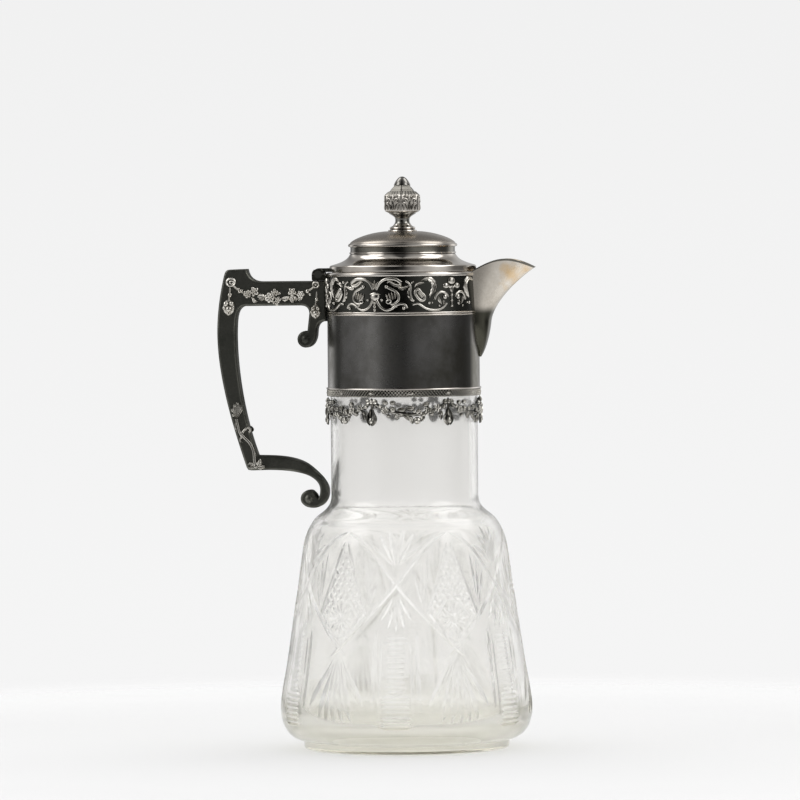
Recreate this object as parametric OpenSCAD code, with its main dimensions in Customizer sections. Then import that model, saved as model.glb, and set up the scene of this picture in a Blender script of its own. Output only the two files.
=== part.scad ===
// Claret jug: cut-glass body, metal collar with a beak spout, cast handle and a hinged domed lid.
// Frame: Z up through the middle of the glass, foot on Z = 0, spout towards +X, handle towards -X.

/* [Glass] */
// Radius of the foot at the table
foot_r = 51.5; // [46:0.5:56]
// Radius of the body at its widest, just above the foot
heel_r = 63; // [58:0.5:68]
// Height of the widest place
heel_z = 19.5; // [17:0.5:24]
// Radius of the body where the shoulder starts
shoulder_r = 51.2; // [47:0.1:55]
// Height where the shoulder starts
shoulder_z = 100; // [92:0.5:104]
// Radius of the neck outside
neck_r = 36.75; // [34:0.25:37]
// Height where the neck becomes straight
neck_z = 126.5; // [122:0.5:132]
// Height of the neck's rim, inside the collar
neck_top = 204; // [198:1:206]
// Thickness of the wall of the body
glass_wall = 5.5; // [4:0.5:7]
// Thickness of the wall of the neck
neck_wall = 3.75; // [3:0.25:4.5]
// Thickness of the bottom
glass_bottom = 12; // [9:0.5:15]

/* [Cutting] */
// Number of repeats of the cut pattern round the body
repeats = 6; // [5:1:7]
// Depth of the long leaf cuts
leaf_depth = 1.1; // [0.6:0.1:1.3]
// Depth of the crossing mitre cuts
mitre_depth = 0.75; // [0.4:0.05:1]

/* [Collar] */
// Radius of the collar outside
collar_r = 38; // [37.9:0.1:39]
// Thickness of the collar's sheet
collar_wall = 0.9; // [0.7:0.05:1]
// Height of the collar's lower edge
collar_low = 176.3; // [174:0.1:180]
// Height of the mouth, where the lid rests
mouth_z = 238; // [236:0.5:240]
// Radius of the round mouth
mouth_r = 35.8; // [35.7:0.1:36]
// Thickness of the ring round the mouth
mouth_t = 1.8; // [1.4:0.1:2.2]

/* [Ornament] */
// Height of the scroll frieze strip
frieze_h = 17.4; // [15:0.2:18]
// How far the frieze strip stands proud of the collar
frieze_t = 0.55; // [0.4:0.05:0.8]
// Height of the trellis border
trellis_h = 3.4; // [3:0.1:4]
// Number of flower swags round the neck
swags = 6; // [4:1:8]
// How far a drop hangs below the collar
swag_drop = 13.6; // [11:0.2:15]
// Relief of the applied flowers and leaves
relief = 1.3; // [0.8:0.1:1.8]

/* [Spout] */
// How far the beak reaches out from the collar
lip_reach = 28.6; // [24:0.2:32]
// Half width of the spout at the mouth
lip_half_w = 13.2; // [12:0.1:14]
// Height of the spout, from its point on the collar to the mouth
lip_h = 42.6; // [39:0.2:44]
// How far the beak's edge arches above the mouth
lip_arch = 5; // [3:0.5:7]
// Thickness of the spout's sheet
lip_t = 1.1; // [0.9:0.1:1.3]

/* [Handle] */
// How far the grip stands out from the collar
grip_reach = 55.1; // [52:0.1:60]
// Height of the handle, from the corner of the grip down to the lower scroll
handle_h = 119.6; // [116:0.1:120]
// Thickness of the strap from front to back
handle_w = 12; // [9:0.5:14]

/* [Hinge] */
// Distance of the pin from the collar's wall
pin_out = 4; // [4:0.1:4.4]
// Radius of the pin
pin_r = 1.2; // [1:0.1:1.4]
// Radius of the knuckles
knuckle_r = 3; // [2.8:0.1:3]
// Length of the middle knuckle
knuckle_l = 5.2; // [4.6:0.1:5.6]

/* [Lid] */
// Radius of the lid's flange
lid_r = 36.7; // [36.5:0.1:37]
// Radius of the lid's waist
waist_r = 25.7; // [24:0.1:27]
// Height of the lid above the mouth
lid_h = 20.4; // [19:0.2:22]
// Thickness of the lid's sheet
lid_t = 1.2; // [1:0.1:1.4]

/* [Finial] */
// Radius of the hexagonal block, to its corners
knob_r = 9.65; // [8.5:0.05:10.5]
// Height of the finial above the lid
finial_h = 27.3; // [26:0.1:29]
// Radius of the stud that holds the finial
stud_r = 1.5; // [1.2:0.1:1.8]

/* [Hidden] */
$fn = 64;

silver = "#8f8b84";
tarnish = "#4b4943";
polished = "#bdb8b0";
crystal = "#dfe6df";
plaster = "#e6e0d2";

running_gap = 0.3;
cut_over = 0.05;
collar_in = collar_r - collar_wall;
collar_top = mouth_z - mouth_t;
frieze_top = collar_top - 0.2;
frieze_low = frieze_top - frieze_h;
wire_t = 0.6;
trellis_top = collar_low + trellis_h;
bead_h = 1;
lip_low = mouth_z - lip_h;
seat_gap = 0.3;
lid_z = mouth_z + seat_gap;
lid_top = mouth_z + lid_h;
pin_x = -(collar_r + pin_out);
pin_z = mouth_z - 0.8;

// A point of a cubic curve, and the curve as a list of points
function curve_at(p, t) = pow(1 - t, 3) * p[0] + 3 * pow(1 - t, 2) * t * p[1]
  + 3 * (1 - t) * t * t * p[2] + pow(t, 3) * p[3];
function curve(p, steps) = [for (i = [0:steps - 1]) curve_at(p, i / steps)];
function mirrored(points) = [for (i = [len(points) - 1:-1:0]) [-points[i][0], points[i][1]]];

// ---- Glass ----

// The outside of the glass from the foot's edge up to the neck
foot_h = 4.6;
heel_curve = [[foot_r + 0.8, foot_h], [foot_r + 7, foot_h + 0.4], [heel_r, heel_z - 8.5], [heel_r, heel_z]];
flank_curve = [[heel_r, heel_z], [heel_r, heel_z + 8.5], [heel_r - 2, heel_z + 14.5],
  [heel_r - 3.4, heel_z + 23.5]];
shoulder_curve = [[shoulder_r, shoulder_z], [shoulder_r - 0.9, shoulder_z + 7],
  [shoulder_r - 3.4, shoulder_z + 11.5], [shoulder_r - 6.2, shoulder_z + 15.2]];
fillet_curve = [[shoulder_r - 6.2, shoulder_z + 15.2], [shoulder_r - 9.6, shoulder_z + 18.6],
  [neck_r, neck_z - 6.5], [neck_r, neck_z]];
glass_outside = concat(curve(heel_curve, 10), curve(flank_curve, 6), [[heel_r - 3.4, heel_z + 23.5]],
  curve(shoulder_curve, 8), curve(fillet_curve, 8));

// Points on the outside of the glass: turn is in degrees from the front towards the spout
outside_by_height = [for (p = glass_outside) [p[1], p[0]]];
function glass_r(z) = lookup(z, outside_by_height);
function radial(turn) = [sin(turn), -cos(turn), 0];
function glass_point(turn, z) = glass_r(z) * radial(turn) + [0, 0, z];
function unit(v) = v / norm(v);
function glass_normal(turn, z) = unit(radial(turn) + [0, 0, glass_r(z - 1) / 2 - glass_r(z + 1) / 2]);

// Left, right and lowest point of a V cut's section at stop i of a path of [turn, height] stops
vee_lift = 1.2;
tip_lift = 0.25;
function vee_section(path, i, half, depth) =
  let (stop = path[i], out = glass_normal(stop[0], stop[1]), centre = glass_point(stop[0], stop[1]),
    along = unit(glass_point(path[i + 1][0], path[i + 1][1]) - glass_point(path[i - 1][0], path[i - 1][1])),
    side = unit(cross(along, out)) * half * (depth + vee_lift) / depth)
  [centre - side + out * vee_lift, centre + side + out * vee_lift, centre - out * depth];

// One V cut of the wheel along a path, pointed at both ends
module vee_cut(path, half, depth) {
  last = len(path) - 1;
  tips = [for (p = [path[0], path[last]]) glass_point(p[0], p[1]) + tip_lift * glass_normal(p[0], p[1])];
  sections = [for (i = [1:last - 1]) for (p = vee_section(path, i, half, depth)) p];
  far = 1 + len(sections);
  walls = [for (s = [1:3:far - 6]) for (k = [0:2]) let (n = (k + 1) % 3)
    for (f = [[s + k, s + k + 3, s + n + 3], [s + k, s + n + 3, s + n]]) f];
  ends = [for (k = [0:2]) let (n = (k + 1) % 3) for (f = [[0, 1 + k, 1 + n], [far - 3 + k, far, far - 3 + n]]) f];
  polyhedron(concat([tips[0]], sections, [tips[1]]), concat(walls, ends));
}

// Main cuts of half a repeat, as [share of the half repeat, height]: 0 is the middle of an upright
// panel, 1 the middle of a pointed cell
cross_z = shoulder_z - 15.5;
cell_low_z = heel_z + 34;
fan_low_z = heel_z - 4.5;
cell_top_z = shoulder_z + 5.5;
centre_leaves = [
  [[0, cross_z + 9.5], [0, cross_z + 19], [0, cross_z + 28]],
  [[1, cell_low_z - 3], [1, fan_low_z + 15], [1, fan_low_z]]];
side_leaves = [
  [[0.04, cross_z + 10], [0.19, cross_z + 18.5], [0.36, cross_z + 24.5]],
  [[0.97, cell_low_z - 3.5], [0.85, fan_low_z + 15.5], [0.7, fan_low_z + 1.8]],
  [[0.94, cell_low_z - 4], [0.73, fan_low_z + 20], [0.5, fan_low_z + 9]]];
mitres = [
  [[-0.12, cross_z + 4.2], [0.33, cross_z - 10.3], [0.67, cross_z - 20.8], [1.14, cell_low_z - 4.4]],
  [[-0.06, cross_z - 2], [0.25, cross_z + 9], [0.5, cross_z + 17], [0.74, cross_z + 22.5],
    [0.97, cross_z + 25.2]],
  [[0.36, heel_z + 3], [0.35, heel_z + 23], [0.34, cell_low_z + 8]],
  [[0.5, cell_low_z + 14], [0.76, cell_low_z + 35], [0.96, cell_top_z - 0.5]]];

function on_side(path, side) = [for (p = path) [side * p[0] * 180 / repeats, p[1]]];

module cutting() {
  centre_half_w = 1.6;
  leaf_half_w = 1.5;
  mitre_half_w = 1.1;
  for (k = [0:repeats - 1]) rotate(360 / repeats * k) {
    for (path = centre_leaves) vee_cut(on_side(path, 1), centre_half_w, leaf_depth);
    for (side = [-1, 1]) {
      for (path = side_leaves) vee_cut(on_side(path, side), leaf_half_w, leaf_depth);
      for (path = mitres) vee_cut(on_side(path, side), mitre_half_w, mitre_depth);
    }
  }
}

module glass_body() {
  neck_step_z = collar_low + 2;
  cement_room = 1.15;
  outside = concat([[0, 0], [foot_r - 1.6, 0], [foot_r - 0.4, 0.6], [foot_r, 1.8], [foot_r, foot_h - 0.6]],
    glass_outside, [[neck_r, neck_z], [neck_r, neck_step_z - 0.6],
    [neck_r - cement_room, neck_step_z + 0.6], [neck_r - cement_room, neck_top - 1],
    [neck_r - cement_room - 0.6, neck_top]]);
  inner_r = neck_r - neck_wall;
  inside_fillet = [[inner_r, neck_z + 1], [inner_r, neck_z - 5], [shoulder_r - 13, shoulder_z + 15.5],
    [shoulder_r - 9.5, shoulder_z + 11.5]];
  inside_shoulder = [[shoulder_r - 9.5, shoulder_z + 11.5], [shoulder_r - 7.2, shoulder_z + 9],
    [shoulder_r - glass_wall - 0.5, shoulder_z + 5], [shoulder_r - glass_wall, shoulder_z - 3]];
  inside_heel = [[heel_r - glass_wall - 1.5, heel_z + 14], [heel_r - glass_wall, heel_z + 3],
    [heel_r - glass_wall - 2, glass_bottom], [heel_r - glass_wall - 14, glass_bottom]];
  inside = concat([[inner_r, neck_top]], curve(inside_fillet, 8), curve(inside_shoulder, 6),
    [[shoulder_r - glass_wall, shoulder_z - 3]], curve(inside_heel, 8),
    [[heel_r - glass_wall - 14, glass_bottom], [0, glass_bottom]]);
  color(crystal, 0.35) difference() {
    rotate_extrude($fn = 120) polygon(concat(outside, inside));
    cutting();
  }
}

module neck_cement() {
  low = collar_low + 3.4;
  inner = neck_r - 1.15;
  color(plaster) rotate_extrude($fn = 96)
    polygon([[inner, low], [collar_in, low], [collar_in, neck_top - 1.6], [inner, neck_top - 1.2]]);
}

// ---- Collar and its borders ----

// Outline of the spout's joint on the collar: half width and height, from the point up to the mouth
joint_point = [1.6, lip_low + 0.2];
joint_waist = [lip_half_w * 0.77, mouth_z - lip_h * 0.61];
joint_low = [joint_point, [lip_half_w * 0.42, lip_low + 4.2], [lip_half_w * 0.7, lip_low + 10.4], joint_waist];
joint_high = [joint_waist, [lip_half_w * 0.83, joint_waist[1] + 7.5],
  [lip_half_w * 0.93, mouth_z - 8], [lip_half_w, mouth_z + 0.6]];
joint_steps = 9;
joint_side = concat(curve(joint_low, joint_steps), curve(joint_high, joint_steps),
  [[lip_half_w, mouth_z + 0.6]]);

// The joint's outline pushed out from +X as a cutter; grow is negative for the wine's window
module joint_cutter(grow, low, high) {
  side = [for (p = joint_side) if (p[1] > low && p[1] < high) [p[0] + grow, p[1]]];
  ends = concat([[side[0][0], low]], side, [[side[len(side) - 1][0], high]]);
  translate([collar_r - 6, 0, 0]) rotate([90, 0, 90]) linear_extrude(12)
    polygon(concat(ends, mirrored(ends)));
}

// Clears a strip's place for the handle's bracket and the hinge
module bracket_cutter() {
  room = 0.1;
  translate([-collar_r - 3, -handle_w / 2 - room, lip_low])
    cube([6, handle_w + 2 * room, mouth_z - lip_low + 2]);
}

module band(inner, outer, low, high) {
  rotate_extrude($fn = 96) translate([inner, low]) square([outer - inner, high - low]);
}

module collar() {
  window_low = neck_top + 3;
  color(tarnish) difference() {
    band(collar_in, collar_r, collar_low, collar_top);
    joint_cutter(-2, window_low, collar_top - 1.5);
  }
}

module mouth_ring() {
  color(polished) rotate_extrude($fn = 96) polygon([[mouth_r, collar_top], [collar_r, collar_top],
    [collar_r, mouth_z - 0.4], [collar_r - 0.4, mouth_z], [mouth_r + 0.3, mouth_z], [mouth_r, mouth_z - 0.3]]);
}

module frieze_band() {
  color(tarnish) difference() {
    band(collar_r, collar_r + frieze_t, frieze_low, frieze_top);
    joint_cutter(cut_over, lip_low, mouth_z);
    bracket_cutter();
  }
}

// A half-round wire laid against the collar
module border_wire(low, high, out) {
  middle = (low + high) / 2;
  half = (high - low) / 2;
  rotate_extrude($fn = 96) polygon([[collar_r, low], [collar_r + out * 0.7, low + half * 0.2],
    [collar_r + out, middle], [collar_r + out * 0.7, high - half * 0.2], [collar_r, high]]);
}

module frieze_upper_wire() {
  color(polished) difference() {
    border_wire(frieze_top, mouth_z - 0.3, wire_t + 0.1);
    joint_cutter(cut_over, lip_low, mouth_z + 0.5);
    bracket_cutter();
  }
}

module frieze_lower_wire() {
  groove = 1;
  color(silver) difference() {
    union() {
      border_wire(frieze_low - groove, frieze_low, wire_t + 0.1);
      border_wire(frieze_low - 2 * groove, frieze_low - groove, wire_t);
      band(collar_r, collar_r + 0.3, frieze_low - 1.5 * groove, frieze_low - groove / 2);
    }
    joint_cutter(cut_over, lip_low, mouth_z);
    bracket_cutter();
  }
}

module border_bead() {
  color(polished) border_wire(trellis_top, trellis_top + bead_h, wire_t + 0.2);
}

module trellis_border() {
  studs = 24;
  color(silver) union() {
    band(collar_r, collar_r + 0.45, collar_low, trellis_top);
    for (i = [0:studs - 1])
      rotate([0, 0, (i + 0.5) * 360 / studs]) translate([collar_r + 0.2, 0, collar_low + trellis_h / 2])
        rotate([0, 90, 0]) cylinder(r = 0.7, h = 0.6, $fn = 24);
  }
}

// ---- Festoons ----

// Angle of the first drop, counted from +X; the swags hang between neighbouring drops
first_drop = -110;
swag_step = 360 / swags;
swag_in = collar_in + 0.05;
swag_t = collar_wall + relief - 0.3;
// Flowers of one swag: place along the swag, from 0 to 1, depth below the collar, and radius
swag_flowers = [[0.16, 5.2, 2.2], [0.27, 6.6, 1.8], [0.38, 8.6, 1.9], [0.5, 8.9, 2.6],
  [0.62, 8.6, 1.9], [0.73, 6.6, 1.8], [0.84, 5.2, 2.2]];

module boss_on_neck(angle, depth, r) {
  rotate([0, 0, angle]) translate([swag_in, 0, collar_low - depth]) rotate([0, 90, 0])
    cylinder(r = r, h = swag_t, $fn = 24);
}

// A flat link between two places on the neck, each given as angle and depth
module link_on_neck(a, b, width) {
  middle = (a + b) / 2;
  run = collar_r * (b[0] - a[0]) * PI / 180;
  rise = a[1] - b[1];
  rotate([0, 0, middle[0]]) translate([swag_in + swag_t * 0.35, 0, collar_low - middle[1]])
    rotate([atan2(rise, run), 0, 0])
      cube([swag_t * 0.7, sqrt(run * run + rise * rise), width], center = true);
}

module festoons() {
  bow_depth = 1.9;
  drop_r = 2.8;
  color(silver) for (k = [0:swags - 1]) {
    start = first_drop + k * swag_step;
    places = [for (f = swag_flowers) [start + f[0] * swag_step, f[1]]];
    knots = concat([[start + 2.5, bow_depth]], places, [[start + swag_step - 2.5, bow_depth]]);
    for (i = [0:len(knots) - 2]) link_on_neck(knots[i], knots[i + 1], 1.5);
    for (i = [0:len(places) - 1]) boss_on_neck(places[i][0], places[i][1], swag_flowers[i][2]);
    for (side = [-1, 1]) boss_on_neck(start + side * 2.6, bow_depth + cut_over, 1.9);
    link_on_neck([start - 2.6, bow_depth], [start + 2.6, bow_depth], 2.2);
    boss_on_neck(start, swag_drop - drop_r, drop_r);
    rotate([0, 0, start]) translate([swag_in, -1.1, collar_low - swag_drop + drop_r])
      cube([swag_t * 0.8, 2.2, swag_drop - drop_r - bow_depth]);
  }
}

// ---- Spout ----

lip_tip = [collar_r + lip_reach, mouth_z + 2.2];
keel_waist = [collar_r + 6.2, joint_waist[1] + 1.5];
keel_low = [[collar_r + 0.9, lip_low], [collar_r + 3.3, lip_low + 3.4],
  [collar_r + 5.4, lip_low + 10.6], keel_waist];
keel_high = [keel_waist, [collar_r + 7.4, keel_waist[1] + 8],
  [collar_r + lip_reach * 0.58, mouth_z - 6], lip_tip];
keel = concat(curve(keel_low, joint_steps), curve(keel_high, joint_steps), [lip_tip]);
lip_turns = 22;
lip_rows = len(keel);

// One point of the spout's sheet: row from the point up, turn from edge to edge, inset for the inside
function lip_point(row, turn, inset) = let (
    t = row / (lip_rows - 1),
    w = joint_side[row][0] - inset,
    root = sqrt(collar_r * collar_r - w * w),
    out = keel[row][0] - inset * 1.15 - root,
    angle = -90 + 180 * turn / lip_turns,
    bend = 0.72 + 0.5 * t * t,
    along = pow(abs(cos(angle)), bend),
    aside = sign(angle) * pow(abs(sin(angle)), bend),
    arch = lip_arch * pow(t, 6) * sin(180 * along),
    height = joint_side[row][1] + (keel[row][1] - joint_side[row][1]) * along + arch
  ) [root + out * along, w * aside, height];
function lip_inset(row) = min(lip_t, joint_side[row][0] / 2, (keel[row][0] - collar_r) / 2);
function lip_sheet(inside) = [for (row = [0:lip_rows - 1]) for (turn = [0:lip_turns])
  lip_point(row, turn, inside ? lip_inset(row) : 0)];

module spout() {
  line = lip_turns + 1;
  back = lip_rows * line;
  last = (lip_rows - 1) * line;
  faces = concat(
    [for (r = [0:lip_rows - 2]) for (i = [0:lip_turns - 1])
      [r * line + i, (r + 1) * line + i, (r + 1) * line + i + 1, r * line + i + 1]],
    [for (r = [0:lip_rows - 2]) for (i = [0:lip_turns - 1])
      [back + r * line + i, back + r * line + i + 1, back + (r + 1) * line + i + 1, back + (r + 1) * line + i]],
    [for (i = [0:lip_turns - 1]) [i, i + 1, back + i + 1, back + i]],
    [for (i = [0:lip_turns - 1]) [last + i, back + last + i, back + last + i + 1, last + i + 1]],
    [for (r = [0:lip_rows - 2]) [r * line, back + r * line, back + (r + 1) * line, (r + 1) * line]],
    [for (r = [0:lip_rows - 2]) [r * line + lip_turns, (r + 1) * line + lip_turns,
      back + (r + 1) * line + lip_turns, back + r * line + lip_turns]]);
  color(polished) polyhedron(concat(lip_sheet(false), lip_sheet(true)), faces);
}

// ---- Handle ----

// Place on the handle, as distance out from the collar and depth below the mouth
out_scale = grip_reach / 55.1;
down_scale = handle_h / 119.6;
function at(out, down) = [-(collar_r + out * out_scale), mouth_z - down * down_scale];
arm_top = 4.1;
scroll_ball = [10.6, 33.2];
scroll_ball_r = 4.2;

handle_outline = concat(
  curve([at(51.6, 1.7), at(51, -0.8), at(50.4, -1.9), at(48.6, -1.9)], 5),
  [at(48.6, -1.9)],
  curve([at(40, -2.2), at(39.3, 2), at(36.8, arm_top), at(32.5, arm_top)], 6),
  [at(32.5, arm_top), at(-1.5, arm_top), at(-1.5, 24.3)],
  curve([at(0.9, 24.3), at(3.4, 24.3), at(4.9, 26), at(5, 29.6)], 5),
  curve([at(5, 29.6), at(5.1, 34.4), at(7.4, 37.4), at(scroll_ball[0], scroll_ball[1] + scroll_ball_r)], 6),
  [for (a = [270:-18:72]) at(scroll_ball[0], scroll_ball[1]) + scroll_ball_r * [cos(a), sin(a)]],
  curve([at(8.7, 20.2), at(8.9, 17.4), at(10.4, 16.3), at(13.2, 16.3)], 4),
  curve([at(41.2, 16.4), at(44.2, 16.8), at(45.3, 19.8), at(45.6, 25)], 5),
  curve([at(45.6, 25), at(46.6, 42), at(43.5, 69), at(35.3, 91.2)], 14),
  curve([at(35.3, 91.2), at(28, 91.4), at(16, 91), at(9, 96.8)], 8),
  curve([at(9, 96.8), at(5.5, 99.7), at(-0.1, 104.5), at(-0.1, 109.4)], 7),
  curve([at(-0.1, 109.4), at(-0.1, 114.2), at(3, 117.6), at(7.5, 117.6)], 6),
  curve([at(7.5, 117.6), at(11, 117.6), at(13.9, 115.8), at(13.9, 113)], 5),
  curve([at(13.9, 113), at(13.9, 110.4), at(11.8, 108.7), at(9.2, 108.7)], 5),
  curve([at(9.2, 108.7), at(7.4, 108.7), at(6.4, 110.4), at(6.2, 112.8)], 4),
  curve([at(5.1, 112.7), at(4.5, 112.1), at(4, 110.6), at(4, 108.6)], 4),
  curve([at(4, 108.6), at(4, 104.8), at(7.5, 101.8), at(12.5, 100.4)], 6),
  curve([at(12.5, 100.4), at(17.5, 99), at(23.5, 98.5), at(30.5, 98.5)], 5),
  [at(30.5, 98.5), at(38.4, 98.7), at(40.1, 98.4)],
  curve([at(40.9, 97.2), at(47.5, 77.5), at(55.1, 52), at(55.1, 30)], 14),
  curve([at(55.1, 30), at(55.1, 19), at(53.4, 9.5), at(51.6, 1.7)], 7));

module handle() {
  color(tarnish) difference() {
    translate([0, handle_w / 2, 0]) rotate([90, 0, 0]) linear_extrude(handle_w) polygon(handle_outline);
    translate([0, 0, lip_low]) cylinder(r = collar_r, h = mouth_z, $fn = 96);
  }
}

// Flowers and beads of the arm's garland: place on the handle and radius
garland_chain = [[47.9, 4.5, 2.4], [43.4, 8.5, 1.3], [39.9, 10.8, 2.2], [35.9, 9, 2.3], [32.1, 11.8, 1.2],
  [28.4, 12.1, 2.5], [24.6, 10.8, 2.2], [20.1, 11.9, 1.1], [17.1, 9.2, 2], [13.3, 10.7, 1.8],
  [9.3, 9.5, 1.1], [5.2, 6, 1.7]];
front_drop = [[47.9, 4.5, 1], [48.4, 10, 1.2], [49, 14, 1.4], [49.2, 17.6, 3]];
bracket_drop = [[5.2, 6, 1], [5, 12, 1], [5.3, 16, 1.1], [5.6, 20, 2.6]];
grip_leaf_chain = [[45.8, 65.4, 1.5], [45.8, 68.8, 2.4], [45.2, 75, 0.9], [43.6, 80, 1], [40.6, 84, 1.5],
  [37.6, 88, 0.9], [36.6, 93, 1], [37.8, 96, 2.1]];
grip_curl_chain = [[43.6, 80, 0.9], [41.2, 78.4, 0.9], [39.4, 77.4, 1.1]];

// A chain of round bosses joined by flat links, raised on the side of the handle at +Y
module raised_chain(chain, height) {
  for (c = chain) {
    p = at(c[0], c[1]);
    translate([p[0], handle_w / 2, p[1]]) rotate([-90, 0, 0]) cylinder(r = c[2], h = height, $fn = 24);
  }
  for (i = [0:len(chain) - 2]) {
    a = at(chain[i][0], chain[i][1]);
    b = at(chain[i + 1][0], chain[i + 1][1]);
    middle = (a + b) / 2;
    translate([middle[0], handle_w / 2 + height * 0.3, middle[1]])
      rotate([0, -atan2(b[1] - a[1], b[0] - a[0]), 0]) cube([norm(b - a), height * 0.6, 1], center = true);
  }
}

module garland() {
  union() {
    raised_chain(garland_chain, relief);
    raised_chain(front_drop, relief);
    raised_chain(bracket_drop, relief);
  }
}

module grip_leaf() {
  union() {
    raised_chain(grip_leaf_chain, relief * 0.9);
    raised_chain(grip_curl_chain, relief * 0.9);
  }
}

module garland_back() { color(silver) garland(); }
module garland_front() { color(silver) mirror([0, 1, 0]) garland(); }
module grip_leaf_back() { color(silver) grip_leaf(); }
module grip_leaf_front() { color(silver) mirror([0, 1, 0]) grip_leaf(); }

// ---- Hinge ----

module along_pin(r, from, to) {
  translate([pin_x, from, pin_z]) rotate([-90, 0, 0]) cylinder(r = r, h = to - from, $fn = 48);
}

module hinge_fixed_leaf() {
  outer_end = handle_w / 2;
  inner_end = knuckle_l / 2 + running_gap;
  seat = mouth_z - arm_top * down_scale;
  plate_t = pin_out - knuckle_r - running_gap;
  color(tarnish) difference() {
    union() {
      for (side = [0, 1]) mirror([0, side, 0]) {
        along_pin(knuckle_r, inner_end, outer_end);
        translate([pin_x - knuckle_r, inner_end, seat])
          cube([knuckle_r + pin_out + 1, outer_end - inner_end, pin_z - seat - 1.2]);
      }
      translate([-collar_r - plate_t, -outer_end, seat]) cube([2, handle_w, collar_top - seat]);
    }
    translate([0, 0, lip_low]) cylinder(r = collar_r, h = mouth_z, $fn = 96);
    along_pin(pin_r, -handle_w, handle_w);
  }
}

module hinge_pin() {
  head_r = pin_r + 0.7;
  head_t = 0.7;
  color(polished) union() {
    along_pin(pin_r, -handle_w / 2 - head_t / 2, handle_w / 2 + head_t / 2);
    along_pin(head_r, handle_w / 2, handle_w / 2 + head_t);
    along_pin(head_r, -handle_w / 2 - head_t, -handle_w / 2);
  }
}

module hinge_lid_leaf() {
  bore_gap = 0.05;
  leaf_top = pin_z + knuckle_r;
  leaf_wide = handle_w;
  color(tarnish) difference() {
    union() {
      along_pin(knuckle_r, -knuckle_l / 2, knuckle_l / 2);
      translate([pin_x, -knuckle_l / 2, lid_z]) cube([-pin_x - lid_r + 3, knuckle_l, leaf_top - lid_z]);
      translate([pin_x + knuckle_r + 0.4, -leaf_wide / 2, lid_z])
        cube([4, leaf_wide, leaf_top - lid_z]);
    }
    translate([0, 0, lid_z - 1]) cylinder(r = lid_r, h = lid_h, $fn = 96);
    along_pin(pin_r + bore_gap, -handle_w, handle_w);
  }
}

// ---- Lid ----

bezel_r = mouth_r - 0.4;
flange_h = 2.9;

module lid_shell() {
  cove = [[lid_r - 1.6, lid_z + flange_h], [lid_r - 6, lid_z + flange_h + 1.6],
    [waist_r + 0.4, lid_z + 6.4], [waist_r, lid_z + 9.8]];
  rim_r = waist_r + 1.2;
  rim_z = lid_z + 13;
  dome = [[rim_r, rim_z + 0.7], [rim_r - 3.5, rim_z + 3.2], [rim_r * 0.5, lid_top - 1], [8, lid_top]];
  outside = concat([[bezel_r, lid_z], [lid_r - 0.3, lid_z], [lid_r, lid_z + 0.5],
    [lid_r, lid_z + flange_h - 1], [lid_r - 0.5, lid_z + flange_h - 0.2]],
    curve(cove, 9), [[waist_r, lid_z + 9.8], [waist_r + 0.3, lid_z + 11.4], [rim_r, rim_z]],
    curve(dome, 9), [[8, lid_top]]);
  under_cove = [[waist_r - lid_t, lid_z + 10], [waist_r - lid_t, lid_z + 5.6],
    [lid_r - 6.6, lid_z + flange_h], [bezel_r, lid_z + flange_h - lid_t]];
  under_dome = [[8, lid_top - lid_t], [rim_r * 0.5, lid_top - lid_t - 1],
    [rim_r - 4.5, rim_z + 2.4 - lid_t / 2], [waist_r - lid_t, rim_z - 0.8]];
  inside = concat([[stud_r, lid_top], [stud_r, lid_top - lid_t]], curve(under_dome, 9),
    [[waist_r - lid_t, rim_z - 0.8]], curve(under_cove, 8), [[bezel_r, lid_z + flange_h - lid_t]]);
  color(polished) rotate_extrude($fn = 96) polygon(concat(outside, inside));
}

module lid_bezel() {
  depth = 3.4;
  bezel_t = 0.9;
  color(silver) rotate_extrude($fn = 96) polygon([[bezel_r - bezel_t, lid_z + flange_h - lid_t],
    [bezel_r, lid_z + flange_h - lid_t], [bezel_r, lid_z - depth + 0.5],
    [bezel_r - 0.4, lid_z - depth], [bezel_r - bezel_t, lid_z - depth]]);
}

// ---- Finial ----

finial_scale = finial_h / 27.3;
function up(h) = lid_top + h * finial_scale;
base_top = up(3.4);
stem_top = up(9.2);
block_top = up(22.8);

module turned(profile) { rotate_extrude($fn = 72) polygon(profile); }

module finial_base() {
  color(polished) turned([[stud_r, lid_top], [7.2, lid_top], [7.2, up(0.5)], [6.1, up(0.9)],
    [6.1, up(1.2)], [6.4, up(1.4)], [6.4, up(1.9)], [5.4, up(2.6)], [4.3, base_top], [stud_r, base_top]]);
}

module finial_stem() {
  waist = [[4.3, base_top], [3.6, base_top + 0.8], [3.5, up(5.6)], [3.9, up(6.9)]];
  color(polished) turned(concat(curve(waist, 5), [[3.9, up(6.9)], [4.9, up(7.6)], [6.2, up(8.3)],
    [6.8, stem_top], [stud_r, stem_top], [stud_r, base_top]]));
}

module finial_knob() {
  flat = up(19);
  color(silver) intersection() {
    turned([[stud_r, stem_top], [knob_r * 0.78, stem_top], [knob_r, up(11)], [knob_r, flat - 0.9],
      [knob_r * 0.78, up(19.8)], [knob_r * 0.66, up(20.2)], [knob_r * 0.64, up(20.6)],
      [knob_r * 0.5, up(21.8)], [4.3, block_top], [stud_r, block_top]]);
    rotate([0, 0, 30]) translate([0, 0, stem_top - 1]) cylinder(r = knob_r, h = block_top - stem_top + 2, $fn = 6);
  }
}

module finial_cap() {
  peak = up(27.3);
  ogive = [[4.2, block_top], [4.1, up(24.6)], [2.4, peak - 0.6], [0.6, peak]];
  color(polished) turned(concat(curve(ogive, 9), [[0.6, peak], [0, peak], [0, block_top + 0.8],
    [stud_r, block_top + 0.8], [stud_r, block_top]]));
}

stud_low = lid_top - lid_t - 5;
washer_t = 0.9;
nut_t = 2.8;

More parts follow.
